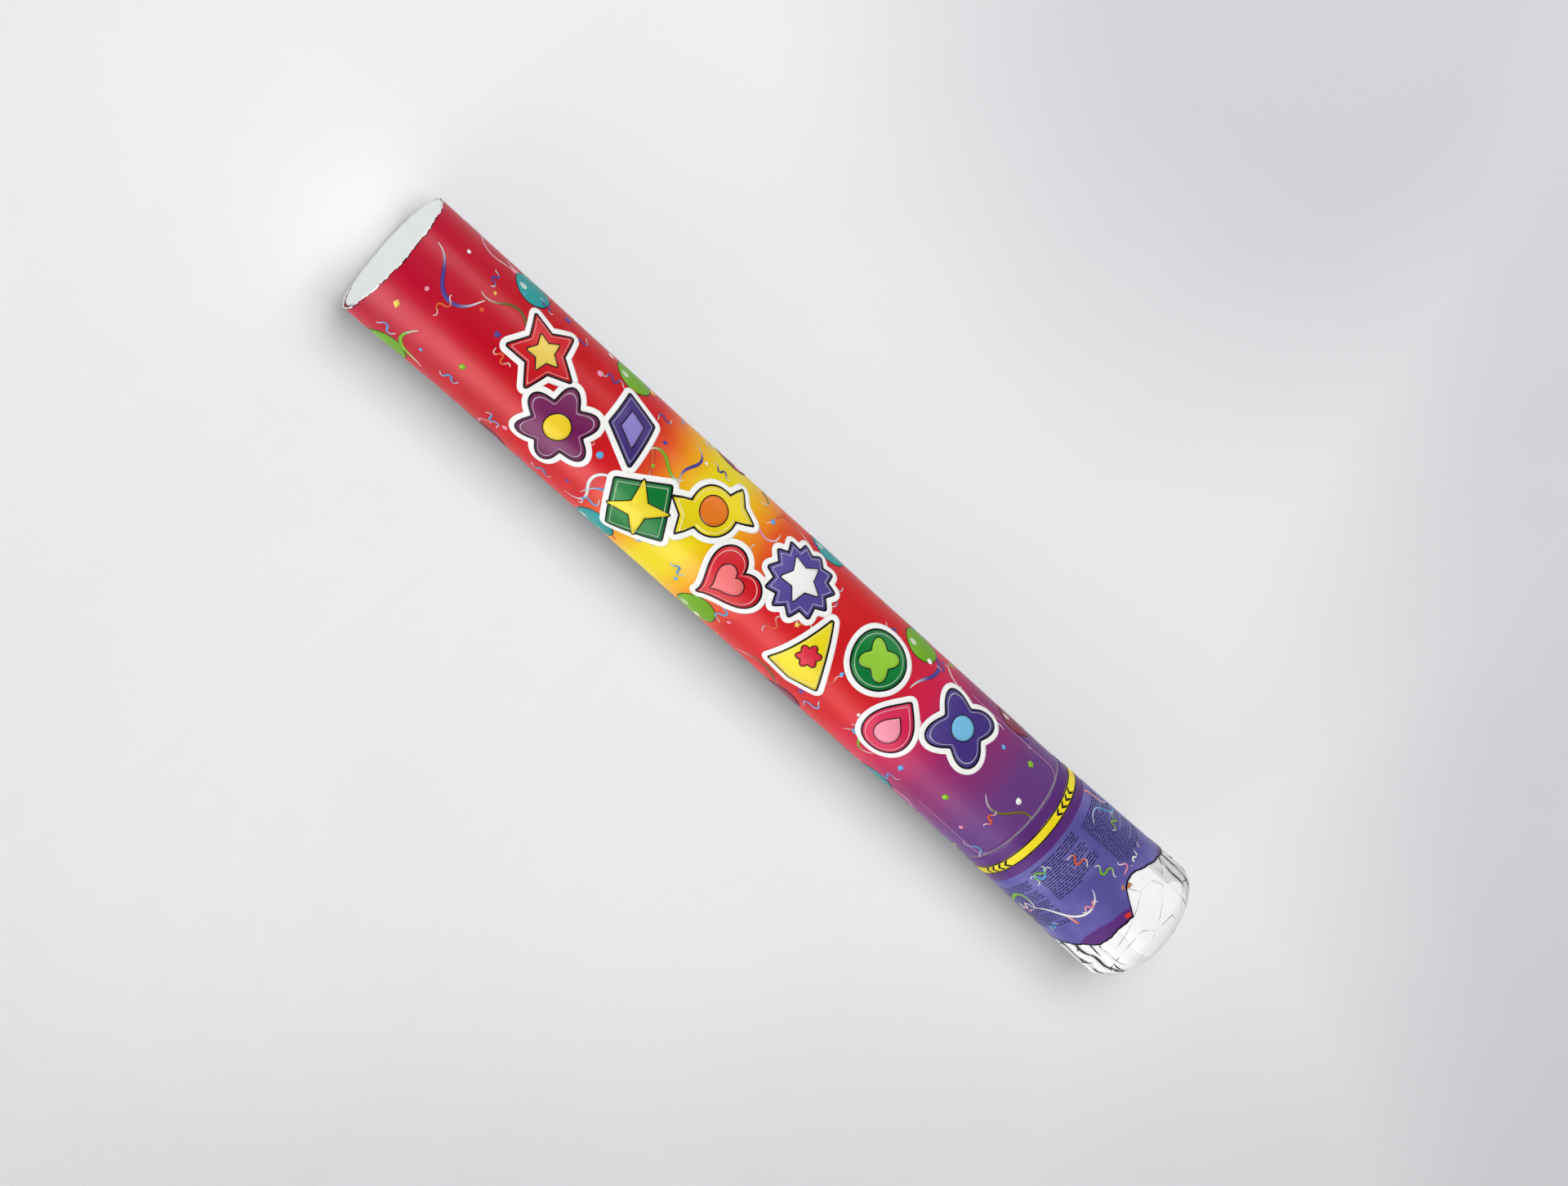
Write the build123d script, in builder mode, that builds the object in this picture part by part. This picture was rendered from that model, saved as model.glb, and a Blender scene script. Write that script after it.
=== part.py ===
from build123d import *
import os
from math import atan2, degrees, sqrt

# Twist-fired confetti popper lying along X, in millimetres.
# The flat base face is at x = 0 on the tube axis, the muzzle points to +X, and +Z is up.

# Whole popper
overall_length = 392.0
seam_position = 77.0
seam_gap = 0.4
running_gap = 0.3
seat_gap = 0.05
cut_overrun = 2.0

# Barrel: wound cardboard tube in a printed film
barrel_radius = 25.0
film_thickness = 0.2
glue_gap = 0.02
tube_wall = 1.8

# Muzzle lid: flat disc with a plug skirt, inside the standing film edge
rim_lip = 0.5
lid_thickness = 1.2
lid_skirt_depth = 8.0
lid_skirt_wall = 1.0

# Twist grip: drafted moulded cup, foil under-wrap, printed film and direction band
grip_step = 0.1
grip_draft = 1.5
base_corner_radius = 11.0
foil_thickness = 0.25
foil_gap = 0.06
cup_wall = 1.6
bottle_rib_count = 6
bottle_rib_thickness = 1.4
bottle_rib_start_gap = 1.5
bottle_rib_end_gap = 4.0
film_edge_position = 19.8
film_notch_height = 10.8
film_notch_reach = 9.8
film_notch_angles = (22.5, 112.0, 158.0, -140.0, -87.0)
film_notch_height_shares = (1.0, 0.6, 0.85, 0.7, 0.94)
film_notch_low_shares = (1.0, 1.0, 1.0, 1.0, 1.0)
film_notch_high_shares = (2.05, 1.0, 1.0, 1.0, 2.05)
band_below_seam = 4.9
band_width = 4.3
band_thickness = 0.1

# Breech collar: glued in the barrel, its spigot turns in the grip's mouth
collar_wall = 1.5
collar_headroom = 1.8
spigot_length = 17.4
snap_bead_height = 0.8
snap_bead_width = 2.4
snap_bead_inset = 3.0
web_thickness = 3.0
hub_wall = 4.2

# Gas bottle: drawn aluminium, held by the ribs of the grip
bottle_gap = 0.6
bottle_wall = 1.0
bottle_corner_relief = 2.6
bottle_punt_depth = 3.0
bottle_punt_share = 0.8
bottle_shoulder_below_seam = 14.0
bottle_shoulder_length = 11.0
bottle_neck_radius = 9.0
bottle_neck_length = 10.0
bottle_bead_width = 3.0
bottle_bead_height = 1.0

# Valve in the bottle's neck
gasket_thickness = 0.8
insert_flange_thickness = 2.2
insert_depth = 8.0
insert_bore_radius = 4.2
ferrule_wall = 0.6
ferrule_mouth_radius = 7.5
stem_radius = 2.5
poppet_gap = 2.0
poppet_thickness = 2.5
seal_thickness = 2.9

# Cam that turns the grip's twist into the valve's travel
twist_angle = 75.0
valve_travel = 3.5
cam_skirt_wall = 1.2
cam_top_thickness = 1.5
cam_sleeve_wall = 2.0
cam_sleeve_length = 17.0
cam_bore_radius = 6.6
pin_radius = 1.5
pin_below_sleeve_top = 5.5
pin_end_inset = 0.6
crosshead_length = 9.0
crosshead_above_pin = 4.0
flute_radius = 1.8
flute_count = 4
flute_start_angle = 45.0

# Return spring between the valve insert and the crosshead
spring_wire_radius = 0.45
spring_side_gap = 0.95
spring_turn_count = 2.75
spring_sample_count = 400

# Charge: piston wad and stacked slips of tissue paper
wad_base_thickness = 3.0
wad_skirt_length = 9.0
wad_skirt_wall = 1.5
charge_gap = 0.6
charge_end_gap = 1.0
bundle_count = 6
bundle_gap = 0.9
slab_count = 8
slab_gap = 0.25
stack_height_share = 0.96
slab_shift_count = 2
confetti_colours = ("red", "yellow", "green", "blue", "violet", "orange")

# Sizes that follow from the ones above
tube_outer_radius = barrel_radius - film_thickness - glue_gap
tube_inner_radius = tube_outer_radius - tube_wall
barrel_start = seam_position + seam_gap
lid_face = overall_length - rim_lip
tube_end = lid_face - lid_thickness - seat_gap
lid_radius = tube_outer_radius + glue_gap - running_gap
lid_skirt_radius = tube_inner_radius - running_gap

grip_mouth_radius = barrel_radius + grip_step
grip_base_radius = grip_mouth_radius + grip_draft
foil_mouth_radius = grip_mouth_radius - film_thickness - foil_gap
cup_inset = foil_thickness + foil_gap
cup_mouth_radius = foil_mouth_radius - cup_inset
cup_base_radius = grip_base_radius - cup_inset
cup_floor = cup_inset + cup_wall
band_position = seam_position - band_below_seam - band_width

spigot_radius = cup_mouth_radius - cup_wall - running_gap
spigot_end = barrel_start - spigot_length
spigot_bore = spigot_radius - collar_wall
collar_radius = tube_inner_radius - glue_gap
bead_start = spigot_end + snap_bead_inset
bead_end = bead_start + snap_bead_width

bottle_radius = spigot_bore - bottle_gap
bottle_base = cup_floor + seat_gap
bottle_corner_radius = base_corner_radius - cup_floor - bottle_corner_relief
bottle_punt_radius = (bottle_radius - bottle_corner_radius) * bottle_punt_share
bottle_rib_start = base_corner_radius + bottle_rib_start_gap
bottle_rib_end = spigot_end - bottle_rib_end_gap
bottle_shoulder_position = seam_position - bottle_shoulder_below_seam
bottle_neck_position = bottle_shoulder_position + bottle_shoulder_length
bottle_rim_position = bottle_neck_position + bottle_neck_length
neck_bore = bottle_neck_radius - bottle_wall
bead_radius = bottle_neck_radius + bottle_bead_height

gasket_top = bottle_rim_position + gasket_thickness
insert_top = gasket_top + insert_flange_thickness
valve_seat = bottle_rim_position - insert_depth
ferrule_bore = bead_radius + seat_gap
ferrule_radius = ferrule_bore + ferrule_wall
ferrule_top = insert_top + seat_gap + ferrule_wall
ferrule_lip = bottle_rim_position - bottle_bead_width - seat_gap
poppet_radius = neck_bore - poppet_gap
spring_coil_radius = cam_bore_radius - spring_side_gap - spring_wire_radius

cam_skirt_bore = ferrule_radius + seat_gap
cam_skirt_radius = cam_skirt_bore + cam_skirt_wall
cam_floor = ferrule_top + seat_gap
cam_shoulder = cam_floor + cam_top_thickness
cam_sleeve_radius = cam_bore_radius + cam_sleeve_wall
cam_sleeve_top = cam_shoulder + cam_sleeve_length
hub_bore = cam_sleeve_radius + 2 * running_gap
hub_radius = hub_bore + hub_wall
web_start = cam_shoulder + 2 * running_gap
collar_top = cam_sleeve_top + collar_headroom
pin_position = cam_sleeve_top - pin_below_sleeve_top
slot_width = 2 * (pin_radius + running_gap)
crosshead_radius = cam_bore_radius - running_gap
crosshead_top = pin_position + crosshead_above_pin
crosshead_base = crosshead_top - crosshead_length
seal_top = valve_seat - seat_gap
poppet_top = seal_top - seal_thickness

wad_start = collar_top + running_gap
charge_start = wad_start + wad_skirt_length + wad_base_thickness + seat_gap
charge_end = tube_end - lid_skirt_depth - charge_end_gap
charge_radius = tube_inner_radius - charge_gap

os.makedirs("parts", exist_ok=True)


def turned(points, mode=Mode.ADD):
    """Turn a closed outline of (x, radius) points about the tube axis."""
    with BuildSketch(Plane.XY) as outline:
        Polygon(*points, align=None)
    revolve(outline.sketch, axis=Axis.X, mode=mode)


def ring(low, high, inner, outer, mode=Mode.ADD):
    """Make or cut a straight ring between two places along the axis."""
    turned(((low, inner), (high, inner), (high, outer), (low, outer)), mode)


def foil_radius(x):
    """Outer radius of the drafted foil at a place along the grip."""
    return grip_base_radius + (foil_mouth_radius - grip_base_radius) * x / seam_position


def cup_middle_radius(x):
    """Radius half-way through the cup's wall at a place along the grip."""
    return foil_radius(x) - cup_inset - cup_wall / 2


def sleeve_on_grip(low, high, lift, thickness):
    """A thin drafted sleeve that stands a given lift off the foil."""
    turned((
        (low, foil_radius(low) + lift),
        (high, foil_radius(high) + lift),
        (high, foil_radius(high) + lift + thickness),
        (low, foil_radius(low) + lift + thickness),
    ))


def drafted_cup(base, base_radius, mouth_radius, corner, wall):
    """A cup with a rounded foot, hollowed from its mouth at the seam."""
    turned(((base, 0), (base, base_radius), (seam_position, mouth_radius), (seam_position, 0)))
    foot = edges().filter_by(GeomType.CIRCLE).sort_by(Axis.X)[0]
    fillet(foot, corner)
    mouth = faces().sort_by(Axis.X)[-1]
    offset(amount=-wall, openings=mouth)


# Barrel pieces
with BuildPart() as barrel_tube:
    ring(barrel_start, tube_end, tube_inner_radius, tube_outer_radius)

with BuildPart() as barrel_wrap:
    ring(barrel_start, overall_length, tube_outer_radius + glue_gap, barrel_radius)

with BuildPart() as breech_collar:
    ring(spigot_end, barrel_start, spigot_bore, spigot_radius)
    ring(barrel_start, collar_top, spigot_bore, collar_radius)
    ring(bead_start, bead_end, spigot_bore, spigot_radius + running_gap + snap_bead_height)
    ring(web_start, web_start + web_thickness, hub_bore, spigot_bore + collar_wall / 2)
    ring(web_start, cam_sleeve_top, hub_bore, hub_radius)
    keyway_length = cam_sleeve_top - pin_position + valve_travel + pin_radius + running_gap
    with Locations((cam_sleeve_top - keyway_length / 2 + cut_overrun / 2, 0, 0)):
        Box(keyway_length + cut_overrun, 2 * (hub_radius + cut_overrun), slot_width, mode=Mode.SUBTRACT)

# Grip pieces
with BuildPart() as grip_cup:
    drafted_cup(cup_inset, cup_base_radius, cup_mouth_radius, base_corner_radius - cup_inset, cup_wall)
    for rib in range(bottle_rib_count):
        with BuildSketch(Plane.XY.rotated((rib * 360 / bottle_rib_count, 0, 0))):
            Polygon(
                (bottle_rib_start, bottle_radius),
                (bottle_rib_end, bottle_radius),
                (bottle_rib_end, cup_middle_radius(bottle_rib_end)),
                (bottle_rib_start, cup_middle_radius(bottle_rib_start)),
                align=None,
            )
        extrude(amount=bottle_rib_thickness / 2, both=True)
    ring(bottle_rib_start - cut_overrun, bottle_rib_end + cut_overrun, 0, bottle_radius + seat_gap,
         Mode.SUBTRACT)
    groove_radius = spigot_radius + 2 * running_gap + snap_bead_height
    ring(bead_start - running_gap, bead_end + running_gap, 0, groove_radius, Mode.SUBTRACT)

with BuildPart() as base_foil:
    drafted_cup(0, grip_base_radius, foil_mouth_radius, base_corner_radius, foil_thickness)

with BuildPart() as grip_wrap:
    sleeve_on_grip(film_edge_position, seam_position, foil_gap, film_thickness)
    for notch_angle, height_share, low_share, high_share in zip(
            film_notch_angles, film_notch_height_shares, film_notch_low_shares, film_notch_high_shares):
        notch_plane = Plane(origin=(0, 0, 0), x_dir=(1, 0, 0), z_dir=(0, 0, 1)).rotated((notch_angle, 0, 0))
        with BuildSketch(notch_plane) as notch:
            Polygon(
                (film_edge_position - cut_overrun, -film_notch_reach * high_share),
                (film_edge_position, -film_notch_reach * high_share),
                (film_edge_position + film_notch_height * height_share, 0),
                (film_edge_position, film_notch_reach * low_share),
                (film_edge_position - cut_overrun, film_notch_reach * low_share),
                align=None,
            )
        extrude(amount=grip_base_radius + cut_overrun, mode=Mode.SUBTRACT)

with BuildPart() as direction_band:
    band_lift = foil_gap + film_thickness + glue_gap
    sleeve_on_grip(band_position, band_position + band_width, band_lift, band_thickness)


def bottle_body(inset, mode):
    """Turn the bottle's outline, or the same outline drawn an inset inside it."""
    base = bottle_base + inset
    body = bottle_radius - inset
    neck = bottle_neck_radius - inset
    corner = bottle_corner_radius - inset
    with BuildSketch(Plane.XY) as half_section:
        with BuildLine():
            Polyline((base + bottle_punt_depth, 0), (bottle_rim_position, 0), (bottle_rim_position, neck))
            Line((bottle_rim_position, neck), (bottle_neck_position, neck))
            Spline(
                (bottle_neck_position, neck),
                (bottle_shoulder_position, body),
                tangents=((0, 1), (-1, 0)),
            )
            Line((bottle_shoulder_position, body), (base + corner, body))
            RadiusArc((base + corner, body), (base, body - corner), -corner)
            Line((base, body - corner), (base, bottle_punt_radius))
            Spline(
                (base, bottle_punt_radius),
                (base + bottle_punt_depth, 0),
                tangents=((1, -1), (0, -1)),
            )
        make_face()
    revolve(half_section.sketch, axis=Axis.X, mode=mode)


with BuildPart() as gas_bottle:
    bottle_body(0, Mode.ADD)
    ring(bottle_rim_position - bottle_bead_width, bottle_rim_position, 0, bead_radius)
    bottle_body(bottle_wall, Mode.SUBTRACT)

with BuildPart() as neck_gasket:
    ring(bottle_rim_position, gasket_top, neck_bore, bead_radius)

with BuildPart() as valve_insert:
    ring(valve_seat, gasket_top, insert_bore_radius, neck_bore - seat_gap)
    ring(gasket_top, insert_top, insert_bore_radius, bead_radius)

with BuildPart() as neck_ferrule:
    ring(ferrule_lip - ferrule_wall, ferrule_top, ferrule_bore, ferrule_radius)
    ring(ferrule_lip - ferrule_wall, ferrule_lip, bottle_neck_radius + seat_gap, ferrule_radius)
    ring(ferrule_top - ferrule_wall, ferrule_top, ferrule_mouth_radius, ferrule_radius)

# The slot is a left-hand helix, so a twist by the band's arrows draws the pin towards the base.
cam_lead = valve_travel * 360 / twist_angle
slot_middle_radius = cam_bore_radius + cam_sleeve_wall / 2
slot_end_angle = degrees((pin_radius + running_gap) / slot_middle_radius)
slot_height = cam_lead * (twist_angle + 2 * slot_end_angle) / 360
slot_low = pin_position - valve_travel - cam_lead * slot_end_angle / 360
with BuildPart() as cam_slot:
    with BuildLine() as slot_path:
        Helix(cam_lead, slot_height, slot_middle_radius, (slot_low, 0, 0), (1, 0, 0), lefthand=True)
    slot_start = slot_path.line @ 0
    slot_radial = Vector(0, slot_start.Y, slot_start.Z)
    with BuildSketch(Plane(slot_start, x_dir=slot_radial, z_dir=slot_path.line % 0)):
        Rectangle(cam_sleeve_wall + cut_overrun, slot_width)
    sweep(path=slot_path.line, is_frenet=True)
slot_turn = twist_angle + slot_end_angle - degrees(atan2(slot_start.Z, slot_start.Y))

with BuildPart() as cam_sleeve:
    ring(ferrule_lip, cam_floor, cam_skirt_bore, cam_skirt_radius)
    ring(cam_floor, cam_shoulder, cam_bore_radius, cam_skirt_radius)
    ring(cam_shoulder, cam_sleeve_top, cam_bore_radius, cam_sleeve_radius)
    for side_turn in (0, 180):
        add(cam_slot.part.rotate(Axis.X, slot_turn + side_turn), mode=Mode.SUBTRACT)

# Plunger pieces, keyed to the barrel by the cross pin
with BuildPart() as valve_stem:
    ring(poppet_top - poppet_thickness, poppet_top, 0, poppet_radius)
    ring(poppet_top, crosshead_base, 0, stem_radius)
    ring(crosshead_base, crosshead_top, 0, crosshead_radius)
    with BuildSketch(Plane.YZ.offset(crosshead_base)):
        with PolarLocations(crosshead_radius, flute_count, start_angle=flute_start_angle):
            Circle(flute_radius)
    extrude(amount=crosshead_length, mode=Mode.SUBTRACT)
    with Locations((pin_position, 0, 0)):
        Cylinder(pin_radius + glue_gap, 2 * crosshead_radius + cut_overrun, rotation=(90, 0, 0),
                 mode=Mode.SUBTRACT)

with BuildPart() as poppet_seal:
    ring(poppet_top, seal_top, stem_radius + glue_gap, poppet_radius)

with BuildPart() as cross_pin:
    with Locations((pin_position, 0, 0)):
        Cylinder(pin_radius, 2 * (hub_radius - pin_end_inset), rotation=(90, 0, 0))

spring_low = insert_top + seat_gap + spring_wire_radius
spring_height = crosshead_base - seat_gap - spring_wire_radius - spring_low
with BuildPart() as return_spring:
    with BuildLine() as spring_path:
        Helix(spring_height / spring_turn_count, spring_height, spring_coil_radius, (spring_low, 0, 0), (1, 0, 0))
    with BuildSketch(Plane(spring_path.line @ 0, z_dir=spring_path.line % 0)):
        Circle(spring_wire_radius)
    sweep(path=spring_path.line, is_frenet=True)

spring_points = [spring_path.line @ (step / spring_sample_count) for step in range(spring_sample_count + 1)]
turn_samples = int(spring_sample_count / spring_turn_count / 2)
spring_gap = min(
    (spring_points[first] - spring_points[second]).length
    for first in range(spring_sample_count + 1)
    for second in range(first + turn_samples, spring_sample_count + 1)
) - 2 * spring_wire_radius
print(f"least gap between the spring's turns {spring_gap:.2f} mm")

# Charge
with BuildPart() as piston_wad:
    wad_radius = tube_inner_radius - running_gap
    wad_base = wad_start + wad_skirt_length
    ring(wad_start, wad_base, wad_radius - wad_skirt_wall, wad_radius)
    ring(wad_base, wad_base + wad_base_thickness, 0, wad_radius)

bundle_step = (charge_end - charge_start + bundle_gap) / bundle_count
bundle_length = bundle_step - bundle_gap
stack_half = charge_radius * stack_height_share
slab_thickness = (2 * stack_half - (slab_count - 1) * slab_gap) / slab_count
confetti_stacks = {}
for colour_index, colour in enumerate(confetti_colours):
    with BuildPart() as confetti:
        for bundle in range(bundle_count):
            for slab in range(slab_count):
                if (slab + slab_shift_count * bundle) % len(confetti_colours) != colour_index:
                    continue
                slab_low = slab * (slab_thickness + slab_gap) - stack_half
                slab_reach = max(abs(slab_low), abs(slab_low + slab_thickness))
                slab_width = 2 * sqrt(charge_radius**2 - slab_reach**2)
                bundle_middle = charge_start + bundle * bundle_step + bundle_length / 2
                with Locations((bundle_middle, 0, slab_low + slab_thickness / 2)):
                    Box(bundle_length, slab_width, slab_thickness)
    confetti_stacks[f"confetti_{colour}"] = confetti

with BuildPart() as muzzle_lid:
    ring(lid_face - lid_thickness, lid_face, 0, lid_radius)
    ring(lid_face - lid_thickness - lid_skirt_depth, lid_face - lid_thickness,
         lid_skirt_radius - lid_skirt_wall, lid_skirt_radius)

pieces = {
    "barrel_tube": barrel_tube,
    "barrel_wrap": barrel_wrap,
    "breech_collar": breech_collar,
    "grip_cup": grip_cup,
    "base_foil": base_foil,
    "grip_wrap": grip_wrap,
    "direction_band": direction_band,
    "gas_bottle": gas_bottle,
    "neck_gasket": neck_gasket,
    "valve_insert": valve_insert,
    "neck_ferrule": neck_ferrule,
    "cam_sleeve": cam_sleeve,
    "valve_stem": valve_stem,
    "poppet_seal": poppet_seal,
    "cross_pin": cross_pin,
    "return_spring": return_spring,
    "piston_wad": piston_wad,
    "muzzle_lid": muzzle_lid,
    **confetti_stacks,
}
for name, piece in pieces.items():
    piece.part.label = name
    export_step(piece.part, f"parts/{name}.step")
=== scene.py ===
# %% [markdown]
# # Confetti popper
# The popper is a card tube in printed film, closed at the muzzle by a flat card lid. Its foot is a twist
# grip, dressed in crumpled foil and a second piece of film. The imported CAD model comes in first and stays
# where it is. The thin skins that give the popper its looks are worked out below as numpy surfaces, in
# metres, on the model's own axes: X runs from the foot to the muzzle, and Z is up.

# %% Load the frame
import bmesh
import bpy
import numpy as np
from mathutils import Matrix, Vector


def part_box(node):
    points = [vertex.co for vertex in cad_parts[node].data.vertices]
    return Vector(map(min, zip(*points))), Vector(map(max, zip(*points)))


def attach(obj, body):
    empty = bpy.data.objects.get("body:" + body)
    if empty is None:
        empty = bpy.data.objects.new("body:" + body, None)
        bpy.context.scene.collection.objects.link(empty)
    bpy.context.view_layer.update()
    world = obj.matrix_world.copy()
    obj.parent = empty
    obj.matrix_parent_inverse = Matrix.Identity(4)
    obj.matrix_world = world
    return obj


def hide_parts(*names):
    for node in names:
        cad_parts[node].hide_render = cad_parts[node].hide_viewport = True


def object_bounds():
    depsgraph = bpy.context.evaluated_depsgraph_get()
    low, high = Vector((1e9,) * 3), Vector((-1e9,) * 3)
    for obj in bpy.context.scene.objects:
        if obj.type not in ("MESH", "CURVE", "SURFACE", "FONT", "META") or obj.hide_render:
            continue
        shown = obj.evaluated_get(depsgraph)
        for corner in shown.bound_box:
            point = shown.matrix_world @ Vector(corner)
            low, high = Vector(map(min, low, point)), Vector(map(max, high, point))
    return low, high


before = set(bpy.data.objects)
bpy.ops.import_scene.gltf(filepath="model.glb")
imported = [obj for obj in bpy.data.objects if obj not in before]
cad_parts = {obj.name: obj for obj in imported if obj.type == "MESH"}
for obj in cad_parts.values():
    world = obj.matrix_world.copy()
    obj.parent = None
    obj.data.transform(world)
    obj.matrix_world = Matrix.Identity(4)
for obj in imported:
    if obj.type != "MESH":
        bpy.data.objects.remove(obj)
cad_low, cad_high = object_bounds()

mm = 0.001
full_turn = 2 * np.pi
scene = bpy.context.scene
print("CAD box", [round(v, 4) for v in (*cad_low, *cad_high)])

# %% [markdown]
# ## Camera
# The photograph looks down on the popper from above, a little from the muzzle's side, with a long lens.
# The camera is set by its place and by three directions, because a turn about the view direction is hard
# to read in Euler angles. In the picture the barrel runs down to the right.

# %% Camera
photo_width = 1920
focal_pixels = 4554.0
view_lean = np.radians(17.68)
barrel_turn = np.radians(42.0)
camera_place = np.array([615.0, -2.6, 1302.2]) * mm
sensor_width = 36.0

barrel_way = np.array([-np.cos(view_lean), 0, np.sin(view_lean)])
side_way = np.array([0, -1, 0])
picture_right = np.cos(barrel_turn) * barrel_way + np.sin(barrel_turn) * side_way
picture_up = np.cos(barrel_turn) * side_way - np.sin(barrel_turn) * barrel_way
towards_camera = np.cross(picture_right, picture_up)

camera = bpy.data.objects.new("photo_camera", bpy.data.cameras.new("photo_camera"))
camera.data.sensor_width = sensor_width
camera.data.lens = focal_pixels * sensor_width / photo_width
turn_and_place = np.column_stack([picture_right, picture_up, towards_camera, camera_place])
camera.matrix_world = Matrix(np.vstack([turn_and_place, [0, 0, 0, 1]]).tolist())
scene.collection.objects.link(camera)
scene.camera = camera
print("lens", round(camera.data.lens, 1), "mm")

# %% [markdown]
# ## Nodes and colours
# A material is a small graph of nodes. These helpers add one node and join its sockets in one line, so
# that each finish below reads as a list of steps. Colours are written as the 0 to 255 values seen on a
# screen and turned into the linear values that the renderer works with.


# %% Colours and nodes
def ink(red, green, blue):
    """Linear colour of a screen colour: each share of 255, raised by the sRGB curve."""
    share = np.array([red, green, blue]) / 255
    return np.where(share <= 0.04045, share / 12.92, ((share + 0.055) / 1.055) ** 2.4)


def rgba(colour):
    """The colour with an alpha of 1."""
    return (*map(float, colour), 1.0)


def connect(tree, value, socket):
    """Link a socket to another one, or set it to a number or a colour."""
    if isinstance(value, bpy.types.NodeSocket):
        tree.links.new(value, socket)
    else:
        socket.default_value = rgba(value) if socket.type == "RGBA" else value


def feed(tree, node, **inputs):
    """Connect a node's inputs by name, with _ for each space."""
    for name, value in inputs.items():
        connect(tree, value, node.inputs[name.replace("_", " ")])


def add_node(tree, kind, settings=None, **inputs):
    """Add a node with its settings, and connect its inputs."""
    node = tree.nodes.new(kind)
    for name, value in (settings or {}).items():
        setattr(node, name, value)
    feed(tree, node, **inputs)
    return node


print("screen grey 128 is", round(float(ink(128, 128, 128)[0]), 3), "in linear light")


# %% Steps of a graph
def calculate(tree, operation, first, second=0.0):
    """One step of arithmetic on two sockets or numbers."""
    node = add_node(tree, "ShaderNodeMath", {"operation": operation})
    connect(tree, first, node.inputs[0])
    connect(tree, second, node.inputs[1])
    return node.outputs[0]


def fade(tree, value, low, high, start=0.0, end=1.0, way="LINEAR"):
    """Value carried from the span low to high into the span start to end, held at both ends."""
    spans = {"From_Min": low, "From_Max": high, "To_Min": start, "To_Max": end}
    return add_node(tree, "ShaderNodeMapRange", {"interpolation_type": way}, Value=value, **spans).outputs[0]


def mix_colours(tree, share, first, second, way="MIX"):
    """Colour between two sockets or colours. A Mix node keeps its colour inputs at numbers 6 and 7."""
    node = add_node(tree, "ShaderNodeMix", {"data_type": "RGBA", "blend_type": way})
    for number, value in ((0, share), (6, first), (7, second)):
        connect(tree, value, node.inputs[number])
    return node.outputs[2]


def colour_ramp(tree, value, stops):
    """Colours along a value, given as (place, colour) pairs in order."""
    node = add_node(tree, "ShaderNodeValToRGB", Fac=value)
    marks = node.color_ramp.elements
    while len(marks) < len(stops):
        marks.new(1.0)
    for mark, (place, colour) in zip(marks, stops):
        mark.position = place
        mark.color = rgba(colour)
    return node.outputs[0]


def object_place(tree):
    """Object coordinates, which are the popper's own metres because every object sits at the origin."""
    return tree.nodes.new("ShaderNodeTexCoord").outputs["Object"]


def object_axes(tree):
    """The object coordinates as three numbers."""
    return add_node(tree, "ShaderNodeSeparateXYZ", Vector=object_place(tree)).outputs


def mark_of(tree, title, kind="Fac"):
    """A number that the mesh keeps for each of its points, or a colour if the kind is Color."""
    return add_node(tree, "ShaderNodeAttribute", {"attribute_name": title}).outputs[kind]


def noise(tree, size, detail=2.0, stretch=(1, 1, 1)):
    """Soft noise with blobs of about the given size in metres, drawn out along the axes by the stretch."""
    spread = [1 / (size * s) for s in stretch]
    place = add_node(tree, "ShaderNodeMapping", Vector=object_place(tree), Scale=spread).outputs[0]
    return add_node(tree, "ShaderNodeTexNoise", Vector=place, Scale=1.0, Detail=detail).outputs[0]


# %% [markdown]
# Two effects come back in several finishes: the uneven tone of paper, plastic and metal, and the slack skin
# of a glossy film. Each is a node group, built once and placed in each material with its own values. The
# Principled shader itself stays in the material.


# %% Shared effects as node groups
def start_group(name, inputs, outputs):
    """An empty node group with named float inputs and outputs."""
    tree = bpy.data.node_groups.new(name, "ShaderNodeTree")
    for title, value in inputs.items():
        socket = tree.interface.new_socket(title, in_out="INPUT", socket_type="NodeSocketFloat")
        socket.default_value = value
    for title in outputs:
        tree.interface.new_socket(title, in_out="OUTPUT", socket_type="NodeSocketFloat")
    return tree, tree.nodes.new("NodeGroupInput").outputs, tree.nodes.new("NodeGroupOutput")


def make_mottle_group():
    """Uneven tone and surface: coarse and fine noise, added. Tone is near 1, and Rough near its input."""
    defaults = {"Blob": 0.01, "Speck": 0.0008, "Contrast": 0.1, "Rough": 0.5}
    tree, given, result = start_group("mottle", defaults, ("Tone", "Rough", "Height"))
    place = object_place(tree)
    layers = []
    for title in ("Blob", "Speck"):
        scale = calculate(tree, "DIVIDE", 1.0, given[title])
        layers.append(add_node(tree, "ShaderNodeTexNoise", Vector=place, Scale=scale, Detail=3.0).outputs[0])
    both = calculate(tree, "MULTIPLY", calculate(tree, "ADD", *layers), 0.5)
    swing = calculate(tree, "MULTIPLY", calculate(tree, "SUBTRACT", both, 0.5), given["Contrast"])
    feed(tree, result, Tone=calculate(tree, "ADD", swing, 1.0), Height=both,
         Rough=calculate(tree, "ADD", swing, given["Rough"]))
    return tree


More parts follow.
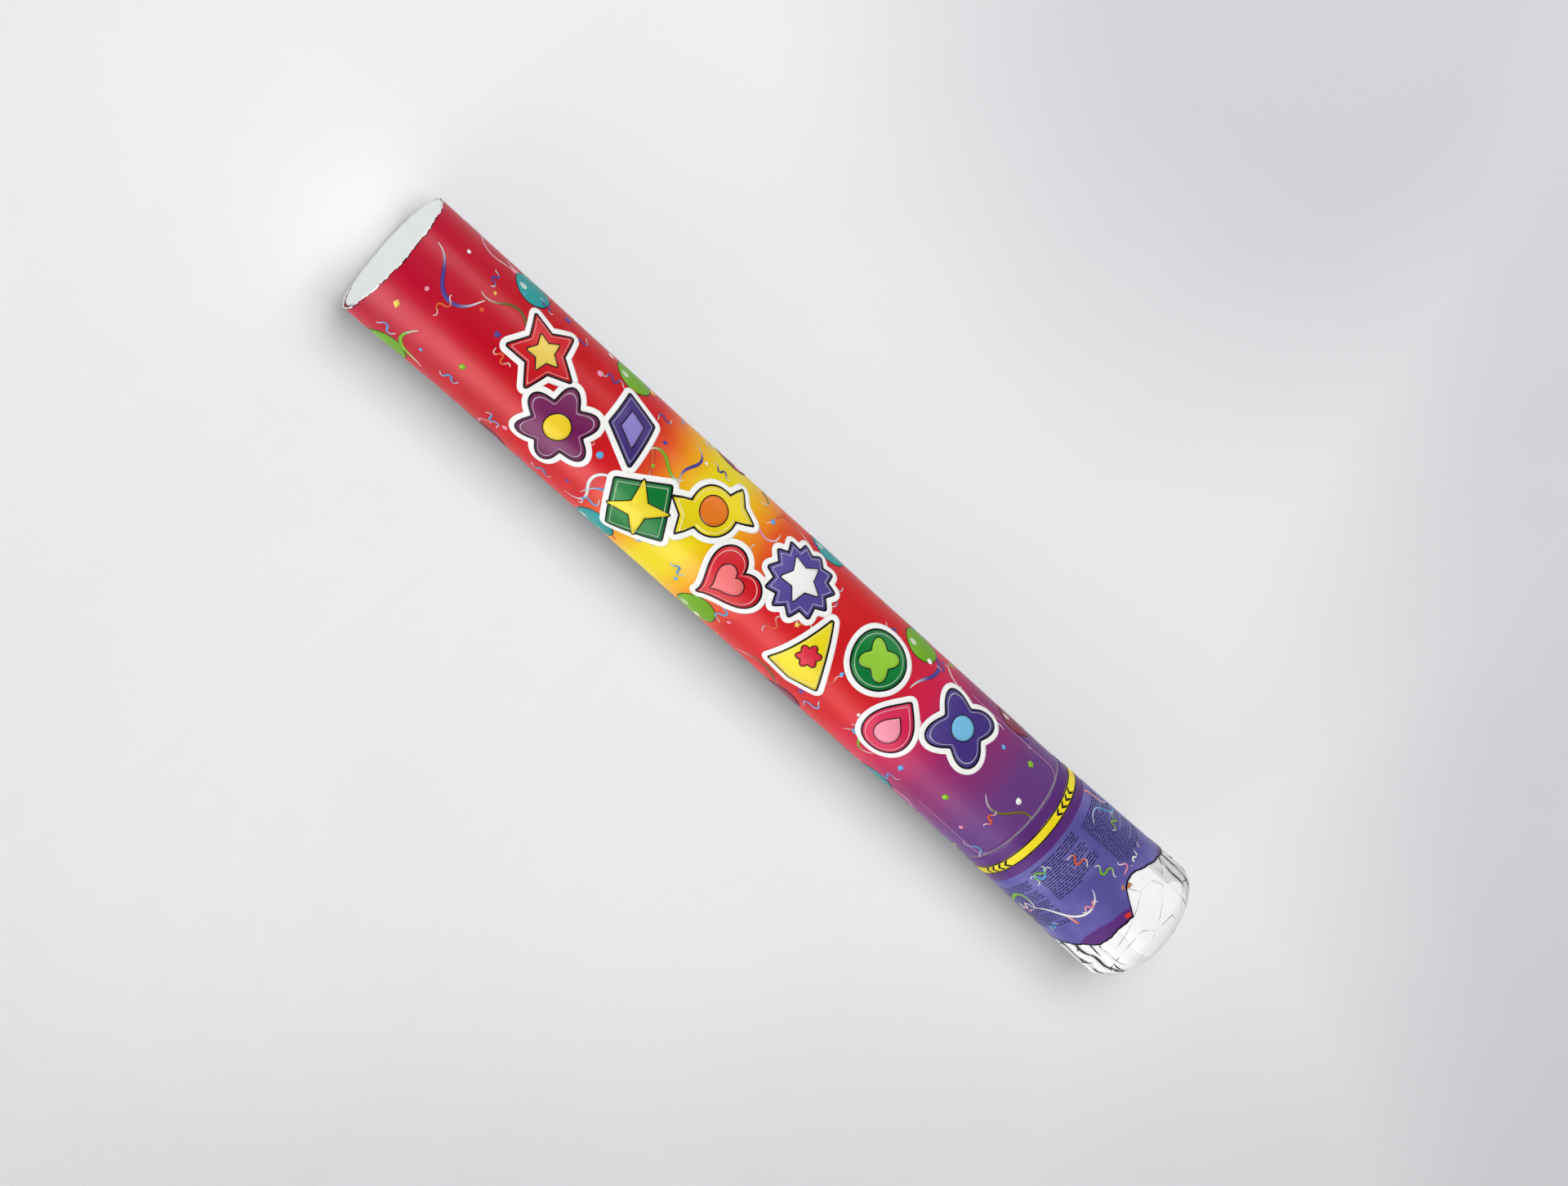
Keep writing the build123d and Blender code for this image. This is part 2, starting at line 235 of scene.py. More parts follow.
def make_satin_group():
    """Skin of a glossy film: long slack waves and a faint peel for the height, and rubbed patches."""
    tree, given, result = start_group("satin_film", {"Rough": 0.3}, ("Rough", "Height"))
    slack = noise(tree, 9 * mm, stretch=(3, 1, 1))
    peel = calculate(tree, "MULTIPLY", noise(tree, 1.1 * mm, detail=1.0), 0.03)
    rubbed = calculate(tree, "SUBTRACT", noise(tree, 24 * mm, detail=4.0), 0.5)
    patch = calculate(tree, "MULTIPLY", rubbed, 0.16)
    feed(tree, result, Height=calculate(tree, "ADD", slack, peel),
         Rough=calculate(tree, "ADD", patch, given["Rough"]))
    return tree


groups = {"mottle": make_mottle_group(), "satin_film": make_satin_group()}
print("node groups", sorted(groups))


# %% Start of a material
def start_material(name):
    """A material with only a Principled shader, ready for its finish."""
    material = bpy.data.materials.new(name)
    material.use_nodes = True
    return material, material.node_tree, material.node_tree.nodes["Principled BSDF"]


def use_group(tree, name, **inputs):
    """Outputs of a node group, placed with its own values."""
    return add_node(tree, "ShaderNodeGroup", {"node_tree": groups[name]}, **inputs).outputs


def mottle(tree, shader, colour, roughness, blob, speck, contrast):
    """Uneven skin: feeds the shader's roughness, and gives the toned colour and the height."""
    skin = use_group(tree, "mottle", Blob=blob, Speck=speck, Contrast=contrast, Rough=roughness)
    feed(tree, shader, Roughness=skin["Rough"])
    return mix_colours(tree, 1.0, colour, skin["Tone"], "MULTIPLY"), skin["Height"]


def bump(tree, shader, height, depth):
    """Let a height in 0 to 1 lift the surface by up to the depth in metres."""
    feed(tree, shader, Normal=add_node(tree, "ShaderNodeBump", Height=height, Distance=depth).outputs[0])


# %% [markdown]
# ## Floor
# The popper lies on a plain pale floor. It is a single square with matt paint and painted shade, which makes
# it a little darker in the upper right corner and towards the right and lower edges of the picture. The
# painted shade is laid out along the picture's own directions, but in the floor's coordinates, so it stays
# put when the camera moves.

# %% Floor
floor_half = 3.0
floor_level = cad_low.z
# Where the painted shade lies: a soft patch round the upper right corner, and the right and lower edges.
corner_right, corner_up = 0.20, 0.22
corner_span = (0.23, 0.05)
right_span = (0.16, 0.30)
lower_span = (-0.10, -0.24)
right_depth, lower_depth = 0.9, 0.5
floor_cloud = 0.11
floor_pale, floor_shaded = ink(242, 242, 244), ink(213, 212, 217)

floor_signs = ((-1, -1), (1, -1), (1, 1), (-1, 1))
floor_mesh = bpy.data.meshes.new("floor")
floor_corners = [(x * floor_half, y * floor_half, floor_level) for x, y in floor_signs]
floor_mesh.from_pydata(floor_corners, [], [(0, 1, 2, 3)])
floor = bpy.data.objects.new("floor", floor_mesh)
scene.collection.objects.link(floor)


def picture_reach(tree, way):
    """How far a place on the floor lies from the middle of the picture, in a direction of the picture."""
    node = add_node(tree, "ShaderNodeVectorMath", {"operation": "DOT_PRODUCT"})
    connect(tree, object_place(tree), node.inputs[0])
    connect(tree, tuple(way), node.inputs[1])
    return calculate(tree, "SUBTRACT", node.outputs["Value"], float(camera_place @ way))


def make_floor_with_painted_shade():
    """Matt paint between two tones, set by painted shade: the darkest of three soft shades, with faint
    clouds added.
    """
    material, tree, shader = start_material("pale_floor")
    rightwards, upwards = picture_reach(tree, picture_right), picture_reach(tree, picture_up)
    from_corner = ((rightwards, corner_right), (upwards, corner_up))
    sides = [calculate(tree, "SUBTRACT", value, middle) for value, middle in from_corner]
    squares = [calculate(tree, "MULTIPLY", side, side) for side in sides]
    corner_reach = calculate(tree, "SQRT", calculate(tree, "ADD", *squares))
    shade = fade(tree, corner_reach, *corner_span, way="SMOOTHSTEP")
    for value, span, depth in ((rightwards, right_span, right_depth), (upwards, lower_span, lower_depth)):
        shade = calculate(tree, "MAXIMUM", shade, fade(tree, value, *span, end=depth, way="SMOOTHSTEP"))
    clouds = fade(tree, noise(tree, floor_cloud, detail=4.0), 0.3, 0.7, start=-0.07, end=0.07)
    tone = calculate(tree, "ADD", shade, clouds)
    feed(tree, shader, Base_Color=colour_ramp(tree, tone, ((0.0, floor_pale), (1.0, floor_shaded))))
    feed(tree, shader, Roughness=0.9)
    return material


floor_mesh.materials.append(make_floor_with_painted_shade())
print("floor at", round(floor_level / mm, 2), "mm")

# %% [markdown]
# ## Light
# A soft lamp almost overhead lights the popper and throws the short shadow to the left. Two low lamps fill
# the left side and the muzzle. They stand far off behind grids, so that they hardly touch the floor. Two
# strips only shine: they are kept out of the plain light, and each leaves one soft band along the film. The
# world is white at the left horizon, and darker overhead and to the right, so the film keeps its deep
# colours.


# %% Lamps
def soft_lamp(name, place, aim, size, power, shines=False, spread=180):
    """A rectangular lamp whose long side lies along the barrel. It either shines in gloss or gives plain
    light. The spread is the full angle in degrees that a grid on the lamp lets through."""
    light = bpy.data.lights.new(name, "AREA")
    light.shape = "RECTANGLE"
    light.size, light.size_y = size
    light.energy = power
    light.spread = np.radians(spread)
    lamp = bpy.data.objects.new(name, light)
    lamp.location = place
    lamp.rotation_euler = (Vector(aim) - Vector(place)).to_track_quat("-Z", "Y").to_euler()
    lamp.visible_diffuse = not shines
    lamp.visible_glossy = shines
    scene.collection.objects.link(lamp)
    print(name, power, "W")


soft_lamp("top_lamp", (0.42, -0.54, 1.65), (0.25, 0, 0), (1.2, 1.2), 25.0)
soft_lamp("left_fill", (0.20, 2.40, 0.10), (0.20, 0, 0), (0.6, 0.2), 1.00, spread=30)
soft_lamp("muzzle_fill", (1.90, 0.15, 0.06), (0.39, 0, 0), (0.4, 0.1), 0.26, spread=40)
soft_lamp("right_shine", (0.42, -0.80, 0.58), (0.42, 0, 0), (0.7, 0.34), 9, shines=True)
soft_lamp("left_shine", (0.26, 0.82, 0.44), (0.26, 0, 0), (0.9, 0.55), 17, shines=True)

# %% World
horizon_light, top_light = 0.85, 0.26
right_share = 0.5
world = bpy.data.worlds.new("studio")
world.use_nodes = True
scene.world = world
tree = world.node_tree
sky_way = tree.nodes.new("ShaderNodeTexCoord").outputs["Generated"]
sky_axes = add_node(tree, "ShaderNodeSeparateXYZ", Vector=sky_way).outputs
overhead = fade(tree, sky_axes[2], 0.0, 0.5, horizon_light, top_light)
leftwards = fade(tree, sky_axes[1], -0.6, 0.3, right_share, 1.0)
strength = calculate(tree, "MULTIPLY", overhead, leftwards)
feed(tree, tree.nodes["Background"], Color=ink(255, 255, 255), Strength=strength)
scene.view_settings.view_transform = "Standard"
print("world from", horizon_light, "at the horizon to", top_light, "overhead")

# %% [markdown]
# ## Surfaces from grids
# Every new piece is a grid of points worked out whole with numpy. The helper joins neighbouring points
# with quads, turns each grid so that it faces outwards, welds its poles and puts the piece on its body.
# A print is an open grid, and a Solidify modifier gives it the thickness of a layer of ink.

# %% Mesh helpers
weld_distance = 1e-7


def grid_faces(rows, columns, wrap_rows, wrap_columns):
    """Quads of a grid: each takes a point, its neighbours down and across, and the point between those."""
    number = np.arange(rows * columns).reshape(rows, columns)
    if wrap_rows:
        number = np.vstack([number, number[:1]])
    if wrap_columns:
        number = np.hstack([number, number[:, :1]])
    corners = (number[:-1, :-1], number[1:, :-1], number[1:, 1:], number[:-1, 1:])
    return np.stack(corners, axis=-1).reshape(-1, 4)


def faces_out(points, faces, solid):
    """True if faces look outwards: a solid then has a positive volume, and a sheet looks off the axis."""
    a, b, c, d = (points[faces[:, corner]] for corner in range(4))
    from_inside = (a + b + c + d) * ((1, 1, 1) if solid else (0, 1, 1))
    return (np.cross(c - a, d - b) * from_inside).sum() > 0


def add_marks(mesh, sheets, inks, marks):
    """Keep colours and numbers on a mesh's points: an ink is one colour per grid or one per point."""
    if inks is not None:
        spread = [np.broadcast_to(colour, sheet.shape) for colour, sheet in zip(inks, sheets)]
        colours = np.ones((len(mesh.vertices), 4), np.float32)
        colours[:, :3] = np.vstack([colour.reshape(-1, 3) for colour in spread])
        mesh.attributes.new("ink", "FLOAT_COLOR", "POINT").data.foreach_set("color", colours.ravel())
    for title, values in (marks or {}).items():
        numbers = np.asarray(values, np.float32).ravel()
        mesh.attributes.new(title, "FLOAT", "POINT").data.foreach_set("value", numbers)


def add_piece(name, sheets, body, material, wrap=(False, False), solid=False, inks=None, marks=None,
              wall=0.0):
    """One mesh from grids of points (rows, columns, 3), riding on a body. Inks and marks are in the grids'
    order. A wall makes an open grid thick, inwards from its face."""
    faces, count = [], 0
    for sheet in sheets:
        own_faces = grid_faces(*sheet.shape[:2], *wrap)
        if not faces_out(sheet.reshape(-1, 3), own_faces, solid):
            own_faces = own_faces[:, ::-1]
        faces.append(own_faces + count)
        count += sheet.shape[0] * sheet.shape[1]
    points = np.vstack([sheet.reshape(-1, 3) for sheet in sheets])
    mesh = bpy.data.meshes.new(name)
    mesh.from_pydata(points.tolist(), [], np.vstack(faces).tolist(), shade_flat=False)
    add_marks(mesh, sheets, inks, marks)
    shape = bmesh.new()
    shape.from_mesh(mesh)
    bmesh.ops.remove_doubles(shape, verts=shape.verts, dist=weld_distance)
    shape.to_mesh(mesh)
    shape.free()
    mesh.materials.append(material)
    piece = bpy.data.objects.new(name, mesh)
    scene.collection.objects.link(piece)
    if wall:
        thickness = piece.modifiers.new("thickness", "SOLIDIFY")
        thickness.thickness = wall
        thickness.offset = -1
    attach(piece, body)
    print(name, len(mesh.polygons), "faces on", body)
    return piece


print("a grid of 3 by 4 points has", len(grid_faces(3, 4, False, False)), "quads")


# %% Places on the popper
def points_of(node):
    """Every point of a CAD node at rest."""
    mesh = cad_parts[node].data
    places = np.zeros(len(mesh.vertices) * 3, np.float32)
    mesh.vertices.foreach_get("co", places)
    return places.reshape(-1, 3).astype(float)


def radius_near(node, x, reach=0.02 * mm):
    """Largest radius of a CAD node's points beside a place along the axis."""
    places = points_of(node)
    beside = places[np.abs(places[:, 0] - x) < reach]
    return np.hypot(beside[:, 1], beside[:, 2]).max()


def row_angles(count):
    """Angles round the axis, one per row of a grid."""
    return np.linspace(-np.pi, np.pi, count, endpoint=False)[:, None]


def round_axis(x, angle, radius):
    """Points at an angle about the axis: 0 is up, and positive turns to the picture's upper side."""
    return np.stack(np.broadcast_arrays(x, -radius * np.sin(angle), radius * np.cos(angle)), axis=-1)


def both_sides(outer, inner, every):
    """Columns of a closed skin: the outer ones there, and every so many of the inner ones back."""
    return np.concatenate([outer, inner[:, ::-every]], axis=1)


def closed_skin(x, angle, radius, wall, every):
    """A thin closed skin round the axis, from its outer radius and its wall."""
    return both_sides(round_axis(x, angle, radius), round_axis(x, angle, radius - wall), every)


def smooth_step(value):
    """An S-shaped rise from 0 to 1."""
    held = np.clip(value, 0, 1)
    return held * held * (3 - 2 * held)


def saw(turns):
    """Triangle wave from 0 to 1 and back in each turn."""
    return 2 * np.abs(turns - np.floor(turns + 0.5))


def ragged(angle, shift, teeth):
    """Depth of a ragged edge: saws of different pitch, as (count round the axis, millimetres), added."""
    turns = angle / full_turn
    return sum(depth * saw(count * turns + count / shift) for count, depth in teeth) * mm


print("the CAD lid has", len(points_of("muzzle_lid")), "points")


# %% [markdown]
# ## Barrel film
# The film is a thin printed sleeve, glued round the tube and cut by hand at the muzzle, so its edge is
# ragged and on one side it stands off a little. A cylinder with a bump texture would leave the outline
# perfect, so the radius is a function of the place along the barrel and of the angle. The film has an
# inner and an outer side, joined at both ends.

# %% Shape of the barrel film
film_low, film_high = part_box("barrel_wrap")
seam_x, muzzle_x, barrel_radius = film_low.x, film_high.x, film_high.z
film_wall = 0.2 * mm
ripple_height = 0.035 * mm
flare_height = 1.5 * mm
flare_length = 75 * mm
flare_angle = np.radians(-92)
edge_curl = 0.25 * mm
edge_curl_length = 1.6 * mm
muzzle_teeth = ((5, 0.25), (11, 0.3), (29, 0.2))
close_start = 0.985
barrel_inner_every = 12


def flare(x, angle):
    """Stand-off of the film: rises towards the muzzle, and falls off to both sides of one angle."""
    rise = smooth_step((x - muzzle_x + flare_length) / flare_length) ** 2
    return flare_height * rise * np.clip(np.cos(angle - flare_angle), 0, 1) ** 3


def barrel_reach(x, angle):
    """Radius of the film: the barrel's, slow ripples that cross each other, and the flare."""
    waves = np.sin(x / (9 * mm) + 2 * np.sin(3 * angle)) * np.sin(2 * angle + x / (41 * mm))
    return barrel_radius + ripple_height * waves + flare(x, angle)


angle = row_angles(240)
stations = np.concatenate([np.linspace(0, close_start, 170), np.linspace(close_start, 1, 12)[1:]])[None, :]
edge_x = muzzle_x - ragged(angle, shift=7, teeth=muzzle_teeth)
film_x = seam_x + stations * (edge_x - seam_x)
from_edge = edge_x - film_x
curl_share = np.clip(1 - from_edge / edge_curl_length, 0, 1) ** 2
film_radius = barrel_reach(film_x, angle) + edge_curl * curl_share * (0.5 + 0.5 * np.sin(5 * angle + 1))
barrel_shell = closed_skin(film_x, angle, film_radius, film_wall, barrel_inner_every)
edge_marks = both_sides(from_edge, from_edge, barrel_inner_every) / mm
print("film length", round((muzzle_x - seam_x) / mm, 1), "radius", round(barrel_radius / mm, 2))

# %% [markdown]
# The print's ground runs from crimson at the muzzle through red to a warm yellow glow, back to red, and into
# purple at the grip. A colour ramp along X does that, with a slow wobble so that the bands are not dead
# straight. The raw white cut shows at the muzzle, with painted shadow beside it in broken dark marks where
# the cut edge lifts, and the seam is a pale line. The floor beside the barrel shows no red glow in the
# photograph, so the film sends only grey light to what lies round it: Light Path tells a ray that comes from
# another dull surface.

# %% Barrel film material
crimson, deep_red, red, rose = ink(186, 4, 46), ink(191, 4, 22), ink(204, 26, 32), ink(204, 32, 72)
orange, amber, yellow = ink(224, 84, 28), ink(236, 150, 14), ink(230, 208, 8)
plum, purple = ink(146, 40, 100), ink(101, 59, 125)
# The dark colour is painted shadow beside the lifted cut at the muzzle.
raw_white, lift_shadow_dark, bounce_grey = ink(238, 236, 234), ink(52, 14, 26), ink(124, 124, 124)
cloud_warm, seam_pale = ink(255, 150, 120), ink(196, 172, 208)
ground_stops = (
    (0.04, purple), (0.135, plum), (0.19, rose), (0.26, red), (0.42, red), (0.46, orange), (0.49, amber),
    (0.53, yellow), (0.56, yellow), (0.6, amber), (0.63, orange), (0.66, red),
    (0.8, deep_red), (1.0, crimson),
)


def film_finish(tree, shader, colour, roughness=0.36):
    """The skin that all printed pieces share: colour, satin gloss, slack waves. Light that bounces off it
    is grey."""
    skin = use_group(tree, "satin_film", Rough=roughness)
    bounced = tree.nodes.new("ShaderNodeLightPath").outputs["Is Diffuse Ray"]
    feed(tree, shader, Base_Color=mix_colours(tree, bounced, colour, bounce_grey), Roughness=skin["Rough"])
    bump(tree, shader, skin["Height"], depth=0.12 * mm)
    feed(tree, shader, Specular_IOR_Level=0.12)


def make_barrel_print():
    """The ground's bands of colour, faint warm clouds, painted shadow in broken dark marks and a white cut
    at the muzzle, and a pale line at the seam."""
    material, tree, shader = start_material("barrel_print")
    along = object_axes(tree)[0]
    wobble = fade(tree, noise(tree, 34 * mm), 0.0, 1.0, start=-8 * mm, end=8 * mm)
    share = fade(tree, calculate(tree, "ADD", along, wobble), seam_x, muzzle_x)
    cloud = fade(tree, noise(tree, 20 * mm, detail=3.0), 0.5, 0.8, end=0.02)
    ground = mix_colours(tree, cloud, colour_ramp(tree, share, ground_stops), cloud_warm, "SCREEN")
    fray = fade(tree, noise(tree, 1.6 * mm), 0.3, 0.7, start=-0.35, end=0.35)
    edge = calculate(tree, "ADD", mark_of(tree, "from_edge"), fray)
    # Painted shadow beside the lifted cut: broken dark marks just inside the white edge.
    broken = fade(tree, noise(tree, 3.5 * mm, detail=3.0), 0.38, 0.46)
    lift_shadow = calculate(tree, "MULTIPLY", fade(tree, edge, 1.1, 0.85), broken)
    ground = mix_colours(tree, lift_shadow, ground, lift_shadow_dark)
    ground = mix_colours(tree, fade(tree, edge, 0.62, 0.5), ground, raw_white)
    seam = fade(tree, along, seam_x + 0.45 * mm, seam_x + 0.3 * mm, end=0.75)
    film_finish(tree, shader, mix_colours(tree, seam, ground, seam_pale))
    return material


barrel_film = add_piece("barrel_film", [barrel_shell], "barrel", make_barrel_print(), wrap=(True, True),
                        solid=True, marks={"from_edge": edge_marks})
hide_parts("barrel_wrap")

# %% [markdown]
# ## Muzzle lid
# The lid is a pressed card disc with a plug skirt. It is one outline turned about the axis. Its face is very
# slightly dished, as pressed card is. Its rim follows the film only in part where that stands off, so a
# dark gap opens at that corner.

# %% Muzzle lid
lid_low, lid_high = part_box("muzzle_lid")
lid_radius, lid_face = lid_high.z, lid_high.x
lid_wall = 1.2 * mm
lid_round = 0.35 * mm
lid_dish = 0.25 * mm
lid_ripple = 0.03 * mm
rim_follows = 0.3
skirt_radius = radius_near("muzzle_lid", lid_low.x)
skirt_wall = 1.0 * mm
skirt_inside = skirt_radius - skirt_wall

angle = row_angles(180)
rim_radius = lid_radius + rim_follows * flare(lid_face, angle)
face_share = np.linspace(0, 1, 26)[None, :]
face_radius = face_share * (rim_radius - lid_round)
waves = np.sin(3 * angle + 4 * face_share) + np.sin(5 * angle - 7 * face_share)
inwards = 1 - face_share**2
face_x = lid_face - lid_dish * inwards + lid_ripple * waves * face_share**2 * inwards
corner = np.linspace(0, np.pi / 2, 5)[None, 1:]
round_radius = rim_radius - lid_round * (1 - np.sin(corner))
round_x = lid_face - lid_round * (1 - np.cos(corner)) + 0 * angle
under = lid_face - lid_wall
back_x = np.array([under, under, lid_low.x, lid_low.x, under, under])[None, :] + 0 * angle
back_radius = np.array([0, skirt_radius, skirt_radius, skirt_inside, skirt_inside, 0])[None, :] + 0 * angle
back_radius[:, :1] = rim_radius
lid_x = np.concatenate([face_x, round_x, back_x], axis=1)
lid_shell = round_axis(lid_x, angle, np.concatenate([face_radius, round_radius, back_radius], axis=1))


def make_card(name, colour, roughness, speck=0.5 * mm):
    """Coated card: an even pale ground with faint clouds and fibres."""
    material, tree, shader = start_material(name)
    toned, height = mottle(tree, shader, colour, roughness, blob=14 * mm, speck=speck, contrast=0.12)
    feed(tree, shader, Base_Color=toned)
    bump(tree, shader, height, depth=0.06 * mm)
    return material


white_card = make_card("white_card", ink(232, 238, 234), roughness=0.5)
lid_disc = add_piece("lid_disc", [lid_shell], "lid", white_card, wrap=(True, False), solid=True)
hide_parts("muzzle_lid")

# %% [markdown]
# ## Grip film
# The grip's film is torn along its lower edge in sharp notches that let the foil show. The torn edge is a
# formula of the angle, and the rows of the grid are squeezed between it and the seam, so that the notches
# are real edges. The grip is slightly tapered, so the radius is read from the CAD film at both ends.

# %% Shape of the grip film
grip_low, grip_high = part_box("grip_wrap")
tear_x, grip_top = grip_low.x, grip_high.x
grip_foot_radius = radius_near("grip_wrap", tear_x)
grip_top_radius = radius_near("grip_wrap", grip_top)
notch_angles = np.radians([22.5, 112.0, 158.0, -140.0, -87.0])
notch_heights = np.array([1.0, 0.6, 0.85, 0.7, 0.94]) * 10.8 * mm
notch_low_reach = 9.8 * mm
notch_high_reach = np.array([2.05, 1.0, 1.0, 1.0, 2.05]) * notch_low_reach
tear_teeth = ((9, 0.9), (23, 0.45), (61, 0.2))
tear_lift, tear_lift_length = 0.35 * mm, 1.5 * mm
grip_slack = 0.03 * mm
grip_inner_every = 8


def grip_reach(x):
    """Radius of the grip's film, straight between its two ends."""
    return grip_top_radius + (grip_foot_radius - grip_top_radius) * (grip_top - x) / (grip_top - tear_x)


def torn_edge(angle):
    """Where the film was torn: a level edge, a tent for each notch, steeper on the side of smaller angles,
    and a fine saw for the fibres."""
    turn = angle[..., None] - notch_angles
    aside = grip_foot_radius * np.sin(turn)
    low_side = (np.abs(aside) / notch_low_reach) ** 2.2
    high_side = (np.abs(aside) / notch_high_reach) ** 1.2
    share = np.where(aside < 0, low_side, high_side)
    tents = (np.clip(1 - share, 0, None) * notch_heights * (np.cos(turn) > 0)).max(axis=-1)
    return tear_x + tents + ragged(angle, shift=5, teeth=tear_teeth)


angle = row_angles(360)
rows = np.linspace(0, 1, 70)[None, :] ** 1.4
torn_x = torn_edge(angle)
grip_x = torn_x + rows * (grip_top - torn_x)
from_tear = grip_x - torn_x
lift = tear_lift * np.exp(-from_tear / tear_lift_length) * (0.5 + 0.5 * np.sin(4 * angle + 0.6))
slack = grip_slack * np.sin(grip_x / (7 * mm) + 3 * np.sin(2 * angle)) * np.sin(3 * angle)
grip_radius = grip_reach(grip_x) + lift + slack
grip_shell = closed_skin(grip_x, angle, grip_radius, film_wall, grip_inner_every)
tear_marks = both_sides(from_tear, from_tear, grip_inner_every) / mm
print("grip film", round(grip_foot_radius / mm, 2), "to", round(grip_top_radius / mm, 2), "mm in radius")

# %% [markdown]
# The grip is printed in purple, with a clouded blue-violet panel that ends in a soft wave above the tear.
# Each point of the mesh knows how far it is from the tear, so the material can draw a dark line along it.

# %% Grip film material
panel_top, panel_foot = grip_top - 13.2 * mm, 24.5 * mm
panel_colour, panel_pale, tear_dark = ink(88, 82, 152), ink(112, 106, 172), ink(22, 10, 32)
grip_purple = ink(88, 44, 116)


def make_grip_print():
    """Purple ground, a blue-violet panel between two edges, and a dark line along the tear."""
    material, tree, shader = start_material("grip_print")
    along = object_axes(tree)[0]
    cloud = fade(tree, noise(tree, 16 * mm, detail=3.0), 0.4, 0.65)
    panel = mix_colours(tree, cloud, panel_colour, panel_pale)
    wave = fade(tree, noise(tree, 22 * mm), 0.3, 0.7, start=-2 * mm, end=2 * mm)
    below_top = fade(tree, along, panel_top, panel_top - 0.2 * mm)
    above_foot = fade(tree, calculate(tree, "ADD", along, wave), panel_foot, panel_foot + 0.6 * mm)
    ground = mix_colours(tree, calculate(tree, "MULTIPLY", below_top, above_foot), grip_purple, panel)
    tear = fade(tree, mark_of(tree, "from_tear"), 0.95, 0.7)
    film_finish(tree, shader, mix_colours(tree, tear, ground, tear_dark), roughness=0.34)
    return material


grip_film = add_piece("grip_film", [grip_shell], "grip", make_grip_print(), wrap=(True, True),
                      solid=True, marks={"from_tear": tear_marks})
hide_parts("grip_wrap")

# %% [markdown]
# ## Direction band
# A narrow yellow tape runs round the grip, with black borders and chevrons that show which way to twist. The
# tape is a closed ring. The borders and chevrons are laid on it below, with the rest of the print.

# %% Direction band
band_low, band_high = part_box("direction_band")
band_foot, band_top = band_low.x, band_high.x
band_lift = radius_near("direction_band", band_foot) - grip_reach(band_foot)
band_under = 0.03 * mm
band_sway = 0.05 * mm
tape_stops = ((0.35, ink(238, 214, 26)), (0.65, ink(246, 230, 52)))
angle = row_angles(200)
band_rows = np.linspace(0, 1, 5)[None, :]
band_x = band_foot + band_rows * (band_top - band_foot) + band_sway * np.sin(9 * angle)
band_shell = closed_skin(band_x, angle, grip_reach(band_x) + band_lift, band_lift - band_under, every=1)


def make_yellow_tape():
    """Yellow tape with faint clouds, and the film's gloss."""
    material, tree, shader = start_material("yellow_tape")
    film_finish(tree, shader, colour_ramp(tree, noise(tree, 9 * mm, detail=3.0), tape_stops))
    return material


yellow_band = add_piece("yellow_band", [band_shell], "grip", make_yellow_tape(), wrap=(True, True),
                        solid=True)
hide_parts("direction_band")

# %% [markdown]
# ## Crumpled foil
# Foil that was pressed round the foot by hand breaks into flat facets with sharp creases. A smooth noise
# looks like melted metal. Here the points are folded over random planes, one after another, which keeps
# every facet flat. Most folds run lengthwise, and on two sides the sheet is bunched up in dense pleats, over
# a wider strip on the left. The folds die out under the film, where the foil lies tight.

# %% Folds and pleats
fold_draws = np.random.default_rng(11)
pleat_count = 26


def steepness(values, places):
    """How fast values change over a grid of places: the slopes along its rows and columns, joined."""
    steps = [np.linalg.norm(np.gradient(places, axis=k), axis=-1) for k in (0, 1)]
    slopes = [np.gradient(values, axis=k) / np.maximum(step, weld_distance) for k, step in enumerate(steps)]
    return np.hypot(*slopes)


def crumple(places, facet, folds, slant):
    """Height from 0 to 1, and the distances to each fold's planes: the places are folded over one random
    set of planes after another, and the heights of all the folds are added, each weaker than the one
    before. A low slant makes the folds run along the axis."""
    folded, height, weight, reaches = places / facet, 0.0, 1.0, []
    for _ in range(folds):
        normal = fold_draws.normal(size=3) * (slant, 1, 1)
        normal /= np.linalg.norm(normal)
        reach = folded @ normal + fold_draws.uniform(0, 1)
        fold = saw(reach / 2)
        folded = folded + (0.55 * (fold - reach))[..., None] * normal
        height = height + weight * fold
        reaches.append(reach)
        weight *= 0.72
    return height / height.max(), reaches


def pleat_turns(x, angle):
    """Number of the pleat at a place, counted round the axis. Each pleat bends to and fro along it."""
    slow_bend = 0.4 * np.sin(x / (9 * mm) + 2 * np.sin(2 * angle))
    quick_bend = 0.1 * np.sin(x / (1.7 * mm) + 5 * np.sin(2 * angle))
    return pleat_count * angle / full_turn + (slow_bend + quick_bend)


print(pleat_count, "pleats go round the foot")


# %% Shape of the foil
foil_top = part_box("base_foil")[1].x
foil_step = grip_top_radius - radius_near("base_foil", foil_top)
foot_radius = grip_reach(0) - foil_step
foot_corner = 11.0 * mm
flat_end = foot_radius - foot_corner
flat_columns = 32
tight_start = 36 * mm
inner_depth = 0.6 * mm
calm_shift = 2 * mm
facet_size, fine_size = 13 * mm, 5 * mm
bunch_start, bunch_width = 17 * mm, 5 * mm
under_film, free_length = 1.0 * mm, 3 * mm

bend = np.linspace(0, np.pi / 2, 46)[1:]
foil_x = np.concatenate([
    np.zeros(flat_columns),
    foot_corner * (1 - np.cos(bend)),
    np.linspace(foot_corner, tight_start, 54)[1:],
    np.linspace(tight_start, foil_top, 9)[1:],
])[None, :]
lean = np.clip(1 - foil_x / foot_corner, 0, 1)
side_radius = grip_reach(foil_x) - foil_step
foil_radius = np.minimum(side_radius, flat_end + foot_corner * np.sin(np.arccos(lean)))
foil_radius[0, :flat_columns] = np.linspace(0, flat_end, flat_columns)
angle = row_angles(340)
foil_ground = round_axis(foil_x, angle, foil_radius)
outwards = round_axis(-lean, angle, np.sqrt(1 - lean**2))

